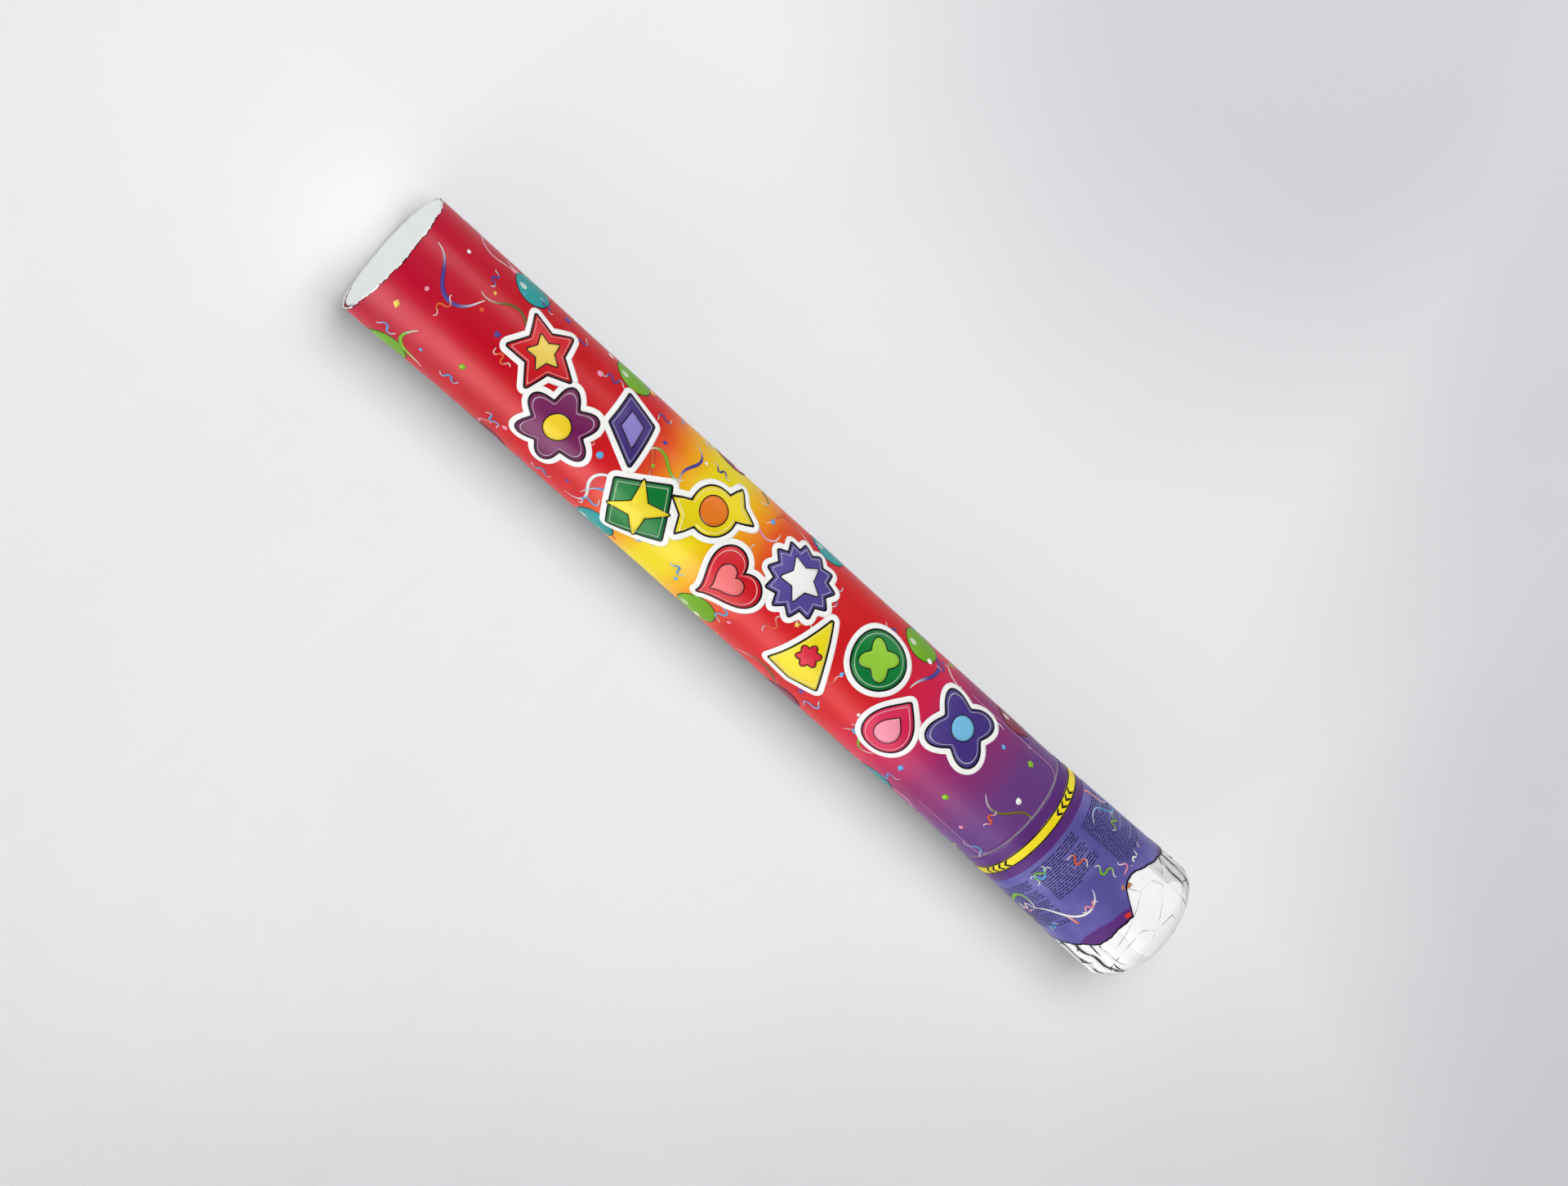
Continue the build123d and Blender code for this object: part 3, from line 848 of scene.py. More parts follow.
broad, broad_reaches = crumple(foil_ground, facet_size, folds=6, slant=0.3)
fine, fine_reaches = crumple(foil_ground, fine_size, folds=5, slant=1.0)
pleats = pleat_turns(foil_x, angle)
bunched = smooth_step((np.abs(foil_ground[..., 1] + calm_shift) - bunch_start) / bunch_width)
folds = 0.9 * broad + 0.24 * fine + 0.3 * bunched * (saw(pleats) - 0.3)
free = smooth_step((torn_edge(angle) + under_film - foil_x) / free_length)
foil_height = (1.15 * folds - 0.5) * mm * free
foil_outer = foil_ground + foil_height[..., None] * outwards
foil_inner = foil_ground - inner_depth * outwards
for side in (foil_outer, foil_inner):
    side[:, 0] = side[:, 0].mean(axis=0)
foil_shell = both_sides(foil_outer, foil_inner, every=1)
print("foil stands", *np.round([foil_height.min() / mm, foil_height.max() / mm], 2), "mm off the form")

# %% [markdown]
# The creases are painted shade: they are where a fold's distance is a whole number, so the mesh keeps these
# distances as marks, and the material draws them as dark lines at any zoom. Where a fold hardly changes over
# the surface, the mark is moved between two creases, because a crease that grazes the surface would smear.
# Real foil mirrors a bright room and looks almost white, which a pale, nearly matt shader gives without a
# room to mirror. The facets' different reflections are painted too, as a grey that chance gives each facet,
# and the pleats get painted shade towards their creases.

# %% Foil material
between_creases = 0.5
grazing_slope = 0.7
hair_width, fold_shade = 0.002, 0.006
crease_marks = {}
for fold, reach in enumerate(broad_reaches + fine_reaches[:2]):
    grazing = steepness(reach, foil_ground) * facet_size < grazing_slope
    crease_marks[f"fold_{fold}"] = np.where(grazing, np.floor(reach) + between_creases, reach)
crease_marks["pleat"] = 2 * pleats
for title, outer in crease_marks.items():
    crease_marks[title] = both_sides(outer, np.full_like(outer, between_creases), every=1)
# Painted light on the foil: the near white stands in for the mirrored room, the grey for the facets'
# reflections and the shade in the pleats, the dark for shade in the creases.
silver, shade_and_reflection_grey, crease_shade_dark = ink(254, 254, 252), ink(120, 122, 126), ink(44, 44, 48)


def make_foil():
    """Bright foil: each facet between creases has its own chance grey, a painted reflection; the pleats have
    painted shade, greyer towards their creases on the bunched sides; and the creases are thin dark lines of
    painted shade."""
    material, tree, shader = start_material("silver_foil")
    ground, height = mottle(tree, shader, silver, roughness=0.55, blob=6 * mm, speck=0.7 * mm, contrast=0.08)
    aside = calculate(tree, "ABSOLUTE", calculate(tree, "ADD", object_axes(tree)[1], calm_shift))
    fold_width = fade(tree, aside, 16 * mm, 24 * mm, start=0.02, end=0.1)
    fold_gaps = noise(tree, 4 * mm, detail=3.0, stretch=(3, 1, 1))
    thin = fade(tree, fold_gaps, 0.47, 0.6, start=hair_width, end=fold_width)
    pleat_width = fade(tree, aside, 17 * mm, 22 * mm, start=hair_width, end=0.3)
    pleat_gaps = noise(tree, 3 * mm, detail=3.0, stretch=(4, 1, 1))
    dense = fade(tree, pleat_gaps, 0.42, 0.54, start=hair_width, end=pleat_width)
    pleat_shade = fade(tree, aside, 16 * mm, 23 * mm, end=0.5)
    marks = {title: mark_of(tree, title) for title in crease_marks}
    # Painted reflection: each facet, between the creases of three folds, gets a chance grey.
    facet = {axis: calculate(tree, "FLOOR", marks[f"fold_{fold}"]) for fold, axis in enumerate("XYZ")}
    facet_corner = add_node(tree, "ShaderNodeCombineXYZ", **facet).outputs[0]
    chance = add_node(tree, "ShaderNodeTexWhiteNoise", Vector=facet_corner).outputs["Value"]
    sharp, grey = 0.0, fade(tree, chance, 0.55, 1.0, end=0.34)
    # Painted shade: greyer towards each crease of the pleats and folds, and a thin dark line on each crease.
    for title, reach in marks.items():
        width, shade = (dense, pleat_shade) if title == "pleat" else (thin, fold_shade)
        apart = calculate(tree, "PINGPONG", reach, 1.0)
        hollow = calculate(tree, "SUBTRACT", 1.0, apart)
        grey = calculate(tree, "ADD", grey, calculate(tree, "MULTIPLY", hollow, shade))
        crease = fade(tree, calculate(tree, "DIVIDE", apart, width), 1.0, 0.7)
        sharp = calculate(tree, "MAXIMUM", sharp, crease)
    # The painted reflection and shade go onto the ground, then the dark lines of the creases.
    ground = mix_colours(tree, grey, ground, shade_and_reflection_grey)
    feed(tree, shader, Base_Color=mix_colours(tree, sharp, ground, crease_shade_dark))
    feed(tree, shader, Metallic=0.05, Specular_IOR_Level=0.08)
    bump(tree, shader, height, depth=0.05 * mm)
    return material


foil_foot = add_piece("foil_foot", [foil_shell], "grip", make_foil(), wrap=(True, False), solid=True,
                      marks=crease_marks)
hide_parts("base_foil")

# %% [markdown]
# ## Print
# The film carries a party print: streamers, curls and flecks, with a staggered double row of bright stickers
# on top. A picture file would be the usual way. Here each mark is a small grid that lies on the film, so
# the edges stay sharp at any size. A mark is drawn flat, as a length along the barrel and a length of arc
# around it, and is then bent onto the film with a lift of a few hundredths of a millimetre.

# %% Print helpers
print_draws = np.random.default_rng(5)
half_round = np.pi * barrel_radius
ink_wall = 0.02 * mm
white, black = ink(246, 245, 243), ink(14, 12, 16)
lime, sky, pink, violet = ink(132, 190, 40), ink(96, 170, 226), ink(240, 150, 176), ink(84, 70, 160)
gold, coral, teal, olive = ink(238, 208, 92), ink(232, 92, 52), ink(20, 150, 150), ink(120, 104, 44)


def on_barrel(flat, lift):
    """Bend flat print onto the barrel film: the first number runs along the axis, the second around it."""
    angle = flat[..., 1] / barrel_radius
    return round_axis(flat[..., 0], angle, barrel_reach(flat[..., 0], angle) + lift)


def on_grip(flat, lift):
    """Bend flat print onto the grip film in the same way."""
    angle = flat[..., 1] / barrel_radius
    return round_axis(flat[..., 0], angle, grip_reach(flat[..., 0]) + lift)


def ribbon(path, half_width, columns=3):
    """A strip along a path: its points, moved to both sides by the half width at each place."""
    way = np.gradient(path, axis=0)
    way /= np.linalg.norm(way, axis=1, keepdims=True)
    aside = np.stack([-way[:, 1], way[:, 0]], axis=1) * np.broadcast_to(half_width, len(path))[:, None]
    return path[:, None] + np.linspace(-1, 1, columns)[None, :, None] * aside[:, None]


def make_ink():
    """Printed ink: the colour comes with each point, and the gloss is the film's own."""
    material, tree, shader = start_material("print_ink")
    film_finish(tree, shader, mark_of(tree, "ink", "Color"))
    return material


def add_print(name, sheets, inks, body, closed=False, wall=ink_wall):
    """One piece of thin ink on a body. The grids are open strips, or closed all the way round."""
    add_piece(name, sheets, body, print_ink, wrap=(closed, False), inks=inks, wall=wall)


print_ink = make_ink()
print("print goes", round(2 * half_round / mm, 1), "mm round the barrel")

# %% [markdown]
# Streamers are long strips whose heading swings about once. Curls are shorter and swing more often. Both
# are spread over cells of equal area, each moved a little at random, so that no bald patch is left.

# %% Streamers and curls
stroke_lift = 0.03 * mm
layer_step = 0.0006 * mm
stroke_rise = 0.01 * mm
streamer_inks = (violet, pink, olive, white, coral, sky, lime)
curl_inks = (lime, gold, sky, coral, violet, white, gold)


def cells(along_low, along_high, cell):
    """Middles of cells all round a stretch of the barrel, each moved by up to a third of a cell."""
    rows = int((along_high - along_low) / cell)
    columns = int(2 * half_round / cell)
    grid = np.stack(np.meshgrid(np.arange(rows) + 0.5, np.arange(columns) + 0.5, indexing="ij"), axis=-1)
    grid = (grid + print_draws.uniform(-0.33, 0.33, grid.shape)).reshape(-1, 2)
    return grid * ((along_high - along_low) / rows, 2 * half_round / columns) + (along_low, -half_round)


def swinging_path(start, share, swing, counts, lengths):
    """A path of equal steps whose heading swings as a sine. The count of swings, where they start, the main
    heading and the length in millimetres are left to chance."""
    turns = print_draws.uniform(*counts) * share + print_draws.uniform()
    heading = print_draws.uniform(0, full_turn) + swing * np.sin(full_turn * turns)
    length = print_draws.uniform(*lengths) * mm
    steps = np.stack([np.cos(heading), np.sin(heading)], axis=1) * length / len(heading)
    return np.asarray(start) + np.cumsum(steps, axis=0)


def stroke_ink(colour, count):
    """Colour along a stroke: white at both ends, full in the middle, darker along its two edges."""
    share = np.linspace(0, 1, count)[:, None, None]
    full = smooth_step(3 * share) * smooth_step(3.4 * (1 - share))
    shade = np.array([0.5, 1.0, 0.5])[None, :, None]
    return (white + (colour - white) * full) * shade


def streamer(start, colour):
    """A long strip: the heading swings about once, and the width swells from both ends."""
    share = np.linspace(0, 1, 44)
    swing = print_draws.uniform(0.7, 1.3)
    path = swinging_path(start, share, swing, counts=(0.6, 1.3), lengths=(20, 38))
    width = print_draws.uniform(0.4, 0.7) * mm * (0.25 + np.sin(np.pi * share))
    return ribbon(path, width), stroke_ink(colour, len(share))


def curl_mark(start, colour):
    """A small squiggle: the heading swings wide, one to two times."""
    share = np.linspace(0, 1, 40)
    path = swinging_path(start, share, swing=1.25, counts=(1.2, 2.2), lengths=(11, 17))
    return ribbon(path, 0.3 * mm * (0.5 + np.sin(np.pi * share))), stroke_ink(colour, len(share))


def spread_strokes(make, inks, middles):
    """One stroke for each middle, with the inks in turn."""
    return [make(middle, inks[rank % len(inks)]) for rank, middle in enumerate(middles)]


def lay_strokes(name, strokes, onto, lift, body):
    """One piece of strokes: each lies a hair above the last, and rises a little along its length."""
    sheets = []
    for rank, (flat, _) in enumerate(strokes):
        rise = np.linspace(0, stroke_rise, len(flat))[:, None]
        sheets.append(onto(flat, lift + rank * layer_step + rise))
    add_print(name, sheets, [colour for _, colour in strokes], body)


strokes = spread_strokes(streamer, streamer_inks, cells(seam_x + 14 * mm, muzzle_x - 16 * mm, cell=31 * mm))
strokes += spread_strokes(curl_mark, curl_inks, cells(seam_x + 5 * mm, muzzle_x - 10 * mm, cell=22 * mm))
print(len(strokes), "strokes on the barrel film")

# %% [markdown]
# Two thin pale lines, each with a round bend at the seam, are the edges of the film's overlap. They are
# strokes too, and go into the same piece.

# %% Edges of the overlap
overlap_round = 4.4 * mm
overlap_start, overlap_aside = 5 * mm, 25.2 * mm
overlap_pale = ink(206, 150, 186)
quarter = np.linspace(0, np.pi / 2, 12)
for side, length in ((1, 46 * mm), (-1, 34 * mm)):
    arm = np.stack([np.linspace(length, overlap_start, 24), np.full(24, overlap_aside)], axis=1)
    bend_x = overlap_start - overlap_round * np.sin(quarter)
    bend_y = overlap_aside - overlap_round * (1 - np.cos(quarter))
    path = np.vstack([arm, np.stack([bend_x, bend_y], axis=1)[1:]]) * (1, side) + (seam_x, 0)
    strokes.append((ribbon(path, 0.16 * mm), np.broadcast_to(overlap_pale, (len(path), 3, 3))))
lay_strokes("barrel_streamers", strokes, on_barrel, stroke_lift, "barrel")

# %% [markdown]
# Stickers and flecks are filled outlines. An outline is grown evenly all round by sending rays from its
# middle and taking the farthest crossing with circles round its points. That gives the black line and the
# white border of a sticker with round corners, and every layer is a simple grid of angle and reach.

# %% Outlines
ray_count = 120
ray_angles = np.linspace(0, full_turn, ray_count, endpoint=False)
dense_turn = np.linspace(0, full_turn, 720, endpoint=False)


def closed_run(corners):
    """Points spread evenly along the straight sides of a closed outline."""
    ends = np.vstack([corners, corners[:1]])
    gone = np.concatenate([[0], np.cumsum(np.linalg.norm(np.diff(ends, axis=0), axis=1))])
    at = np.linspace(0, gone[-1], len(dense_turn), endpoint=False)
    return np.stack([np.interp(at, gone, ends[:, 0]), np.interp(at, gone, ends[:, 1])], axis=1)


def polar(radius, turn=dense_turn):
    """Outline whose distance from the middle is given for each angle."""
    return np.stack([radius * np.cos(turn), radius * np.sin(turn)], axis=1)


def star(points, waist):
    """Straight sides between tips at 1 and hollows at the waist."""
    corner = np.arange(2 * points)
    return closed_run(polar(np.where(corner % 2 == 0, 1.0, waist), corner * np.pi / points))


def heart():
    """The usual heart curve in sines and cosines, point to the back."""
    across = 16 * np.sin(dense_turn) ** 3
    waves = [size * np.cos(count * dense_turn) for count, size in ((1, 13), (2, -5), (3, -2), (4, -1))]
    return np.stack([sum(waves) + 2, across], axis=1) / 17


def sweet():
    """A wrapped sweet: a round middle with a fan of paper at each end."""
    arc = np.radians(np.linspace(28, 152, 30))
    top = polar(0.6, arc)
    front_fan = np.array([(1, -0.46), (0.86, 0), (1, 0.46)])
    back_fan = front_fan[::-1] * (-1, 1)
    return closed_run(np.vstack([front_fan, top, back_fan, -top]))


outlines = {
    "star": star(5, 0.52),
    "bow": star(4, 0.34),
    "burst": star(12, 0.76),
    "flower": polar(0.82 + 0.18 * np.cos(6 * dense_turn)),
    "clover": polar(0.78 + 0.22 * np.cos(4 * dense_turn)),
    "disc": polar(0.84),
    "drop": polar(0.62 + 0.38 * np.exp(-np.abs(np.sin(dense_turn / 2)) * 5)),
    "kite": closed_run(np.array([(1, 0), (0.15, 0.66), (-1, 0), (0.15, -0.66)])),
    "hat": closed_run(np.array([(1.05, 0), (-0.7, 0.72), (-0.86, 0), (-0.7, -0.72)])),
    "box": closed_run(np.array([(0.74, 0.74), (-0.74, 0.74), (-0.74, -0.74), (0.74, -0.74)])),
    "heart": heart(),
    "sweet": sweet(),
}


def outline_reach(name, size, spread):
    """Distance from the middle, for each ray, of an outline of a size, grown by the spread all round."""
    points = outlines[name] * size
    rays = np.stack([np.cos(ray_angles), np.sin(ray_angles)])
    ahead = points @ rays
    aside = np.outer(points[:, 0], rays[1]) - np.outer(points[:, 1], rays[0])
    far = ahead + np.sqrt(np.clip(spread**2 - aside**2, 0, None))
    return np.where((np.abs(aside) <= spread) & (ahead > 0), far, 0).max(axis=0)


def ring_sheet(low, high, columns, every=1):
    """Flat polar grid between two distances: rows turn, columns go outwards."""
    radius = low[::every, None] + np.linspace(0, 1, columns) * (high - low)[::every, None]
    way = np.stack([np.cos(ray_angles), np.sin(ray_angles)], axis=-1)[::every, None]
    return radius[..., None] * way


def set_down(flat, middle, lean):
    """Turn a flat grid by the lean and move it to its middle."""
    turn = np.array([[np.cos(lean), np.sin(lean)], [-np.sin(lean), np.cos(lean)]])
    return flat @ turn + middle


print("outlines", len(outlines), "with", ray_count, "rays")

# %% [markdown]
# On the upper and the under side of the barrel the stickers stand in a staggered double row. A sticker is a
# stack of thin sheets: white border, black line, coloured face, and a smaller mark on the face. Each row of
# the table names the outline, the mark, the mark's share of the size, and both colours.

# %% Stickers
sticker_rows = (
    ("star", "star", 0.46, ink(206, 20, 32), gold),
    ("flower", "disc", 0.38, ink(112, 22, 84), ink(240, 206, 40)),
    ("kite", "kite", 0.48, ink(66, 46, 120), ink(140, 126, 200)),
    ("box", "bow", 0.82, ink(12, 120, 50), ink(238, 216, 40)),
    ("sweet", "disc", 0.42, ink(236, 214, 18), ink(232, 120, 30)),
    ("heart", "heart", 0.5, ink(206, 22, 36), ink(240, 120, 120)),
    ("burst", "star", 0.6, ink(84, 72, 150), white),
    ("hat", "flower", 0.3, ink(238, 218, 20), ink(214, 40, 60)),
    ("disc", "clover", 0.62, ink(10, 124, 56), ink(150, 206, 60)),
    ("drop", "drop", 0.5, ink(212, 34, 82), ink(246, 150, 170)),
    ("clover", "disc", 0.36, ink(70, 52, 130), ink(120, 190, 230)),
)
sticker_first, sticker_step = 60 * mm, 21.1 * mm
sticker_size, sticker_sway = 13.6 * mm, 9.2 * mm
size_stray, sway_stray, lean_stray = 1.0 * mm, 1.6 * mm, 0.9
face_round = 0.3 * mm
line_width = 0.75 * mm
border_width = 2.1 * mm
mark_round = 0.75 * mm
tuck_share = 0.97
pale_start, pale_end = 0.88, 0.91
sticker_lift = 0.12 * mm
sheet_step = 0.03 * mm
rank_step = 0.002 * mm
sticker_backs, back_inks, sticker_faces, face_inks = [], [], [], []


def glossy(colour, flat, size):
    """Sticker colour that grows paler towards one side: a painted sheen."""
    pale = 0.5 + 0.5 * (flat[..., :1] * 0.5 - flat[..., 1:] * 0.8) / size
    return colour * (0.85 + 0.2 * pale) + 0.07 * np.clip(pale - 0.55, 0, 1)


def add_sticker(rank, row, middle, size, lean):
    """Border, line and face of one sticker, a thin pale line inside the face's edge, and the line and face
    of its mark. A layer has two distances, columns, a colour, a level and its lists. The levels lie a small
    step apart."""
    outer, inner, inner_share, colour, inner_colour = row
    none = np.zeros(ray_count)
    face = outline_reach(outer, size, face_round)
    line = outline_reach(outer, size, face_round + line_width)
    border = outline_reach(outer, size, face_round + line_width + border_width)
    mark = outline_reach(inner, size * inner_share, face_round)
    mark_line = outline_reach(inner, size * inner_share, mark_round)
    back, front = (sticker_backs, back_inks), (sticker_faces, face_inks)
    layers = (
        (line * tuck_share, border, 4, white, 0, back),
        (face * tuck_share, line, 3, black, 1, back),
        (none, face, 7, colour, 2, front),
        (face * pale_start, face * pale_end, 2, 0.55 * colour + 0.45 * white, 3, front),
        (none, mark_line, 5, black, 3, front),
        (none, mark, 5, inner_colour, 4, front),
    )
    for low, high, columns, layer_colour, level, (sheets, inks) in layers:
        flat = ring_sheet(low, high, columns)
        lift = sticker_lift + rank * rank_step + level * sheet_step
        sheets.append(on_barrel(set_down(flat, middle, lean), lift))
        # Faces and marks get a painted sheen, paler towards one side.
        inks.append(glossy(layer_colour, flat, size) if level in (2, 4) else layer_colour)


for side in (0, 1):
    for place, row in enumerate(sticker_rows if side == 0 else sticker_rows[::-1]):
        sway = sticker_sway * (-1) ** (place + side) + sway_stray * np.sin(1.3 * place + 2 * side)
        middle = np.array([muzzle_x - sticker_first - place * sticker_step, sway + side * half_round])
        size = sticker_size + size_stray * np.sin(2.1 * place + side)
        lean = np.pi / 2 + lean_stray * np.sin(1.7 * place + 0.5 + side)
        add_sticker(place, row, middle, size, lean)
add_print("sticker_borders", sticker_backs, back_inks, "barrel", closed=True)
add_print("sticker_faces", sticker_faces, face_inks, "barrel", closed=True)

# %% [markdown]
# Plain balls sit along both sides of the barrel, under the stickers. A ball has a black line, a shaded face
# and a pale glint. Flecks are scattered over the whole film, one in each of many small cells.

# %% Balls
ball_size = 9 * mm
ball_round = 0.7 * mm
ball_tuck = 0.96
ball_first, ball_step = 24, 24.6
ball_side, ball_stray = 78, 14
ball_lift = 0.04 * mm
ball_colours = (ink(128, 26, 62), teal, ink(110, 168, 4)) * 4
glint_place = (0.42 * ball_size, -0.3 * ball_size)
ball_face = outline_reach("disc", ball_size, face_round)
ball_line = outline_reach("disc", ball_size, ball_round)
glint = outline_reach("drop", 0.2 * ball_size, face_round)
ball_sheets, ball_inks = [], []
for rank, colour in enumerate(ball_colours):
    around = (-1) ** rank * np.radians(ball_side + ball_stray * np.sin(2.3 * rank)) * barrel_radius
    middle = np.array([seam_x + (ball_first + ball_step * rank) * mm, around])
    layers = (
        (ball_tuck * ball_face, ball_line, 3, black, (0, 0)),
        (0 * ball_face, ball_face, 9, colour, (0, 0)),
        (0 * glint, glint, 3, 0.4 * colour + 0.6 * white, glint_place),
    )
    for level, (low, high, columns, layer_colour, aside) in enumerate(layers):
        flat = ring_sheet(low, high, columns, every=2)
        # The ball's face gets the same painted sheen.
        ball_inks.append(glossy(layer_colour, flat, ball_size) if level == 1 else layer_colour)
        ball_sheets.append(on_barrel(flat + middle + aside, ball_lift + sheet_step * level))
add_print("barrel_balls", ball_sheets, ball_inks, "barrel", closed=True)

# %% Flecks
fleck_inks = (sky, coral, gold, pink, white, lime, violet)
fleck_names = ("star", "kite", "disc", "star", "drop")
fleck_sizes = (0.5, 1.9)
fleck_round = 0.15 * mm
fleck_lift = 0.1 * mm
fleck_sheets, fleck_colours = [], []
for rank, middle in enumerate(cells(seam_x + 3 * mm, muzzle_x - 4 * mm, cell=17 * mm)):
    size = print_draws.uniform(*fleck_sizes) * mm
    edge = outline_reach(fleck_names[rank % len(fleck_names)], size, fleck_round)
    lean = print_draws.uniform(0, full_turn)
    flat = set_down(ring_sheet(0 * edge, edge, columns=2, every=6), middle, lean)
    fleck_sheets.append(on_barrel(flat, fleck_lift))
    fleck_colours.append(fleck_inks[rank % len(fleck_inks)])
add_print("barrel_flecks", fleck_sheets, fleck_colours, "barrel", closed=True)

# %% [markdown]
# ## Print on the grip
# The panel carries columns of plain ruled dashes, with a few bright squiggles over them and two coloured
# scraps at the tear. A dash is a narrow ribbon round the grip, and chance sets how long each one is.

# %% Ruled dashes
rule_pitch, rule_half = 1.1 * mm, 0.21 * mm
rule_gap, rule_dash = 0.5 * mm, (1.2 * mm, 4.2 * mm)
rule_columns = ((-66 * mm, 16), (-40 * mm, 22), (-14 * mm, 15), (12 * mm, 23), (38 * mm, 18))
column_width = 22.5 * mm
short_every, short_share = 5, 0.55
column_first, column_drop = 2.4 * mm, 2.2 * mm
rule_lift = 0.035 * mm
rule_ink = ink(26, 18, 56)


def dash(along, start, end):
    """A straight dash round the grip, with a point at least every millimetre."""
    around = np.linspace(start, end, max(3, int((end - start) / mm) + 2))
    return ribbon(np.stack([np.full_like(around, along), around], axis=1), rule_half, columns=2)


rule_sheets = []
for column, (start, count) in enumerate(rule_columns):
    for line in range(count):
        along = panel_top - column_first - line * rule_pitch - column_drop * (column % 2)
        at = start
        is_short = line % short_every == short_every - 1
        end = start + column_width * (short_share if is_short else 1.0)
        while at < end - rule_dash[0]:
            length = min(print_draws.uniform(*rule_dash), end - at)
            rule_sheets.append(on_grip(dash(along, at, at + length), rule_lift))
            at += length + rule_gap
add_print("grip_rules", rule_sheets, [rule_ink] * len(rule_sheets), "grip")

# %% Scraps and squiggles
scrap_lift, scrap_wall = 0.12 * mm, 0.08 * mm
scrap_turn = ray_angles[::4]
scrap_inks = [ink(196, 128, 84), ink(214, 56, 42)]
scrap_middles = ((30.6, 6.6), (22.4, -0.8))
scrap_sizes = ((1.3, 2.5), (1.2, 1.5))
scrap_leans = (0.5, 0.2)
scraps = []
for middle, size, lean in zip(scrap_middles, scrap_sizes, scrap_leans):
    jag = print_draws.uniform(0.75, 1.15, len(scrap_turn))
    spread = np.linspace(0, 1, 4)[None, :, None] * jag[:, None, None]
    flat = spread * polar(1.0, scrap_turn)[:, None] * np.array(size)
    scraps.append(on_grip(set_down(flat, np.array(middle), lean) * mm, scrap_lift))
add_print("grip_scraps", scraps, scrap_inks, "grip", closed=True, wall=scrap_wall)

squiggle_count = 34
squiggle_low, squiggle_high = 33, 62
squiggle_lift = 0.06 * mm
squiggle_inks = (sky, white, coral, lime, pink)
squiggles = []
for rank in range(squiggle_count):
    around = (2 * rank + 1 - squiggle_count) / squiggle_count * half_round
    place = (print_draws.uniform(squiggle_low, squiggle_high) * mm, around)
    make = streamer if rank % 4 == 0 else curl_mark
    flat, colour = make(place, squiggle_inks[rank % len(squiggle_inks)])
    flat[..., 0] = np.clip(flat[..., 0], squiggle_low * mm, panel_top - 0.5 * mm)
    squiggles.append((flat, colour))
lay_strokes("grip_squiggles", squiggles, on_grip, squiggle_lift, "grip")

# %% [markdown]
# The band has black borders and groups of chevrons. A chevron is a strip across the tape whose two edges
# lead at the middle, and a border is a strip all the way round.

# %% Chevrons and borders
chevron_long, chevron_wide = 1.6 * mm, 1.35 * mm
chevron_pitch, chevron_count, chevron_groups = 3.5 * mm, 4, 4
chevron_first, chevron_inset = 9 * mm, 0.7 * mm
chevron_points = 9
border_half = 0.28 * mm
mark_lift = band_lift + 0.03 * mm
along = np.linspace(band_foot + chevron_inset, band_top - chevron_inset, chevron_points)
chevrons = []
for group in range(chevron_groups):
    for mark in range(chevron_count):
        tip = chevron_first + group * 2 * half_round / chevron_groups + mark * chevron_pitch
        lead = tip + chevron_long * np.abs(np.linspace(-1, 1, chevron_points))
        edges = [np.stack([along, edge], axis=1) for edge in (lead, lead + chevron_wide)]
        chevrons.append(on_grip(np.stack(edges, axis=1), mark_lift))
add_print("band_chevrons", chevrons, [black] * len(chevrons), "grip")

around = np.linspace(-half_round, half_round, 200, endpoint=False)[:, None]
borders = []
for middle in (band_foot + border_half, band_top - border_half):
    across = middle + np.array([-border_half, border_half])[None, :]
    borders.append(on_grip(np.stack(np.broadcast_arrays(across, around), axis=-1), mark_lift))
add_print("band_borders", borders, [black] * 2, "grip", closed=True)

# %% [markdown]
# ## Tissue stacks
# The charge is hundreds of tissue slips in six colours, pressed in bundles. Each CAD stack gives the room,
# and the slips are laid in it one by one: thin wavy grids, each moved and turned a little, with a real gap
# between them. They show when the popper is fired.

# %% Tissue slips
slip_draws = np.random.default_rng(3)
slip_pitch = 0.62 * mm
slip_wall = 0.22 * mm
slip_shrink = 0.6 * mm
slip_gap = 0.5 * mm
slip_shift, slip_lean = 0.4, 0.01
slip_trim = (0.9, 1.0)
slip_wave = 0.08 * mm


def stacks_of(node):
    """Boxes of a CAD stack, as lowest and highest corners, found from the levels of its points."""
    corners = np.round(points_of(node), 5)
    along = np.unique(corners[:, 0])
    boxes = []
    for low_x, high_x in zip(along[::2], along[1::2]):
        ends = corners[corners[:, 0] == low_x]
        levels = np.unique(ends[:, 2])
        for low_z, high_z in zip(levels[::2], levels[1::2]):
            half = np.abs(ends[ends[:, 2] == low_z][:, 1]).max()
            boxes.append(((low_x, -half, low_z), (high_x, half, high_z)))
    return np.array(boxes)


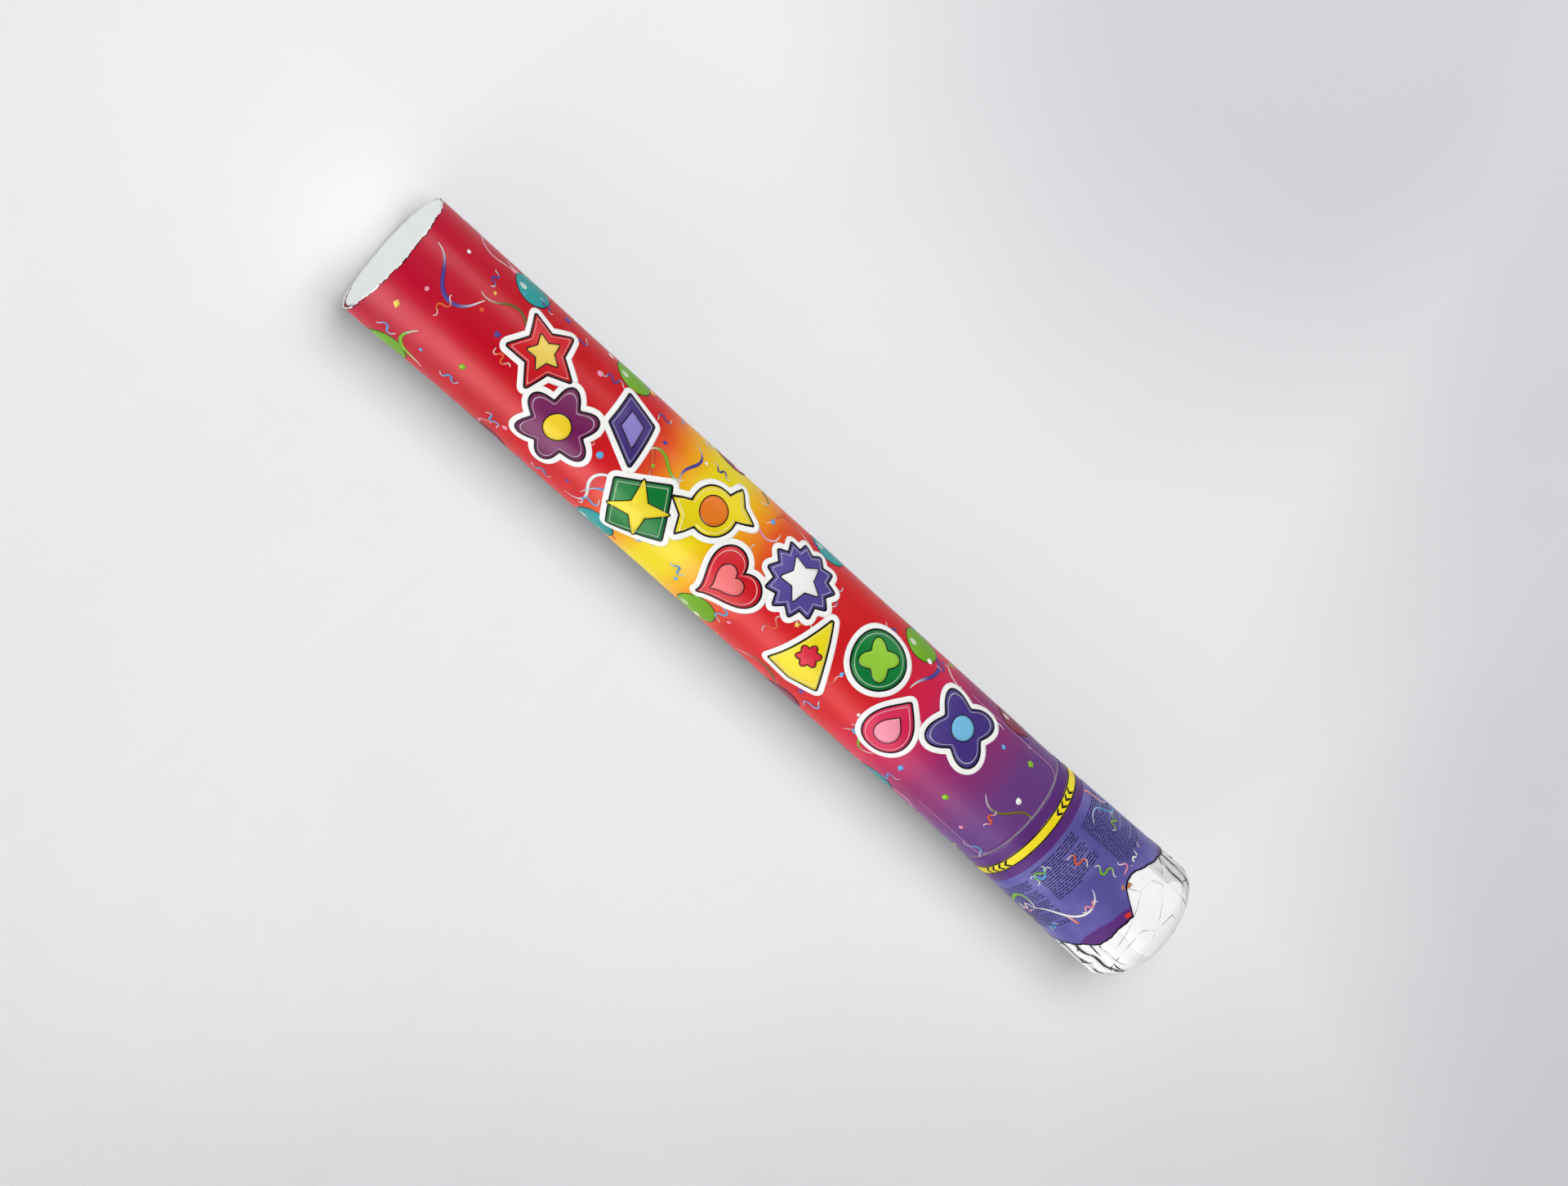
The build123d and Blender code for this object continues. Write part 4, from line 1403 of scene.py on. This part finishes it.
def slips_in(low, high):
    """Wavy slips in a box, two side by side on each level: a flat grid, moved, turned and bent by sines."""
    along, across = np.meshgrid(np.linspace(-0.5, 0.5, 6), np.linspace(-0.5, 0.5, 4), indexing="ij")
    length, width = (high - low)[:2] - 2 * slip_shrink
    middle_x = (low[0] + high[0]) / 2
    sheets = []
    for level in np.arange(low[2] + slip_pitch / 2, high[2] - slip_pitch / 3, slip_pitch):
        for side in (-0.25, 0.25):
            shift = slip_draws.uniform(-slip_shift, slip_shift, 2) * mm
            lean = slip_draws.uniform(-slip_lean, slip_lean)
            trim = slip_draws.uniform(*slip_trim, 2)
            phase = slip_draws.uniform(0, full_turn, 2)
            x = along * length * trim[0]
            y = across * (width / 2 - slip_gap) * trim[1] + side * width
            z = level + slip_wave * (np.sin(9 * along + phase[0]) + np.sin(7 * across + phase[1]))
            places = (middle_x + x + shift[0] - lean * y, y + shift[1] + lean * x, z)
            sheets.append(np.stack(places, axis=-1))
    return sheets


def make_tissue(name, colour):
    """Tissue paper: thin, matt, with fine crepe lines across."""
    material, tree, shader = start_material(name)
    toned, _ = mottle(tree, shader, colour, roughness=0.8, blob=5 * mm, speck=0.4 * mm, contrast=0.3)
    feed(tree, shader, Base_Color=toned, Sheen_Weight=0.15)
    bump(tree, shader, noise(tree, 0.7 * mm, stretch=(1, 14, 14)), depth=0.08 * mm)
    return material


tissue_colours = {
    "red": ink(206, 28, 40), "yellow": ink(244, 208, 36), "green": ink(24, 146, 66),
    "blue": ink(38, 96, 190), "violet": ink(110, 56, 156), "orange": ink(242, 122, 30),
}
for colour_name, colour in tissue_colours.items():
    node = f"confetti_{colour_name}"
    tissue = make_tissue(f"{colour_name}_tissue", colour)
    sheets = [sheet for low, high in stacks_of(node) for sheet in slips_in(low, high)]
    slips = add_piece(f"slips_{colour_name}", sheets, "charge", tissue, wall=slip_wall)
    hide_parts(node)

# %% [markdown]
# ## Inner pieces
# The tube, the mouldings, the bottle and the valve keep their CAD shapes, which are right as they are. Each
# gets the finish of its real material: wound board, moulded plastic, drawn aluminium, rubber or steel.

# %% Finishes of the inner pieces
board_climb = 68 * mm


def make_board(name, pale, dark):
    """Spiral-wound board: a fine dark joint that climbs the tube as it goes round, and grey fibres."""
    material, tree, shader = start_material(name)
    x, y, z = object_axes(tree)
    turns = calculate(tree, "DIVIDE", calculate(tree, "ARCTAN2", y, z), full_turn)
    climb = calculate(tree, "SUBTRACT", calculate(tree, "DIVIDE", x, board_climb), turns)
    joint = fade(tree, calculate(tree, "PINGPONG", climb, 0.5), 0.006, 0.0)
    toned, height = mottle(tree, shader, pale, roughness=0.85, blob=4 * mm, speck=0.35 * mm, contrast=0.35)
    feed(tree, shader, Base_Color=mix_colours(tree, joint, toned, dark))
    bump(tree, shader, height, depth=0.1 * mm)
    return material


def make_moulding(name, colour, roughness, gloss=0.5):
    """Moulded plastic: even, with a faint spark-eroded grain."""
    material, tree, shader = start_material(name)
    toned, height = mottle(tree, shader, colour, roughness, blob=8 * mm, speck=0.25 * mm, contrast=0.08)
    feed(tree, shader, Base_Color=toned, Specular_IOR_Level=gloss)
    bump(tree, shader, height, depth=0.03 * mm)
    return material


def make_metal(name, colour, roughness, stretch):
    """Bare metal with fine draw lines: noise that is short across the lines and long along them."""
    material, tree, shader = start_material(name)
    toned, _ = mottle(tree, shader, colour, roughness, blob=7 * mm, speck=0.5 * mm, contrast=0.12)
    feed(tree, shader, Base_Color=toned, Metallic=1.0)
    bump(tree, shader, noise(tree, 0.25 * mm, stretch=stretch), depth=0.02 * mm)
    return material


white_moulding = make_moulding("white_moulding", ink(236, 236, 232), roughness=0.45)
valve_moulding = make_moulding("valve_moulding", ink(222, 220, 208), roughness=0.38)
black_rubber = make_moulding("black_rubber", ink(30, 30, 31), roughness=0.75, gloss=0.3)
drawn_aluminium = make_metal("drawn_aluminium", ink(226, 227, 230), roughness=0.3, stretch=(40, 40, 1))
bright_steel = make_metal("bright_steel", ink(196, 197, 202), roughness=0.22, stretch=(1, 40, 40))
finishes = {
    "barrel_tube": make_board("tube_board", pale=ink(190, 172, 142), dark=ink(120, 100, 74)),
    "piston_wad": make_card("wad_board", ink(206, 198, 180), roughness=0.9, speck=0.3 * mm),
    "breech_collar": white_moulding, "grip_cup": white_moulding,
    "valve_insert": valve_moulding, "cam_sleeve": valve_moulding, "valve_stem": valve_moulding,
    "neck_gasket": black_rubber, "poppet_seal": black_rubber,
    "gas_bottle": drawn_aluminium, "neck_ferrule": drawn_aluminium,
    "cross_pin": bright_steel, "return_spring": bright_steel,
}
for node, material in finishes.items():
    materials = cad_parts[node].data.materials
    materials.clear()
    materials.append(material)
print("finishes on", len(finishes), "CAD nodes")
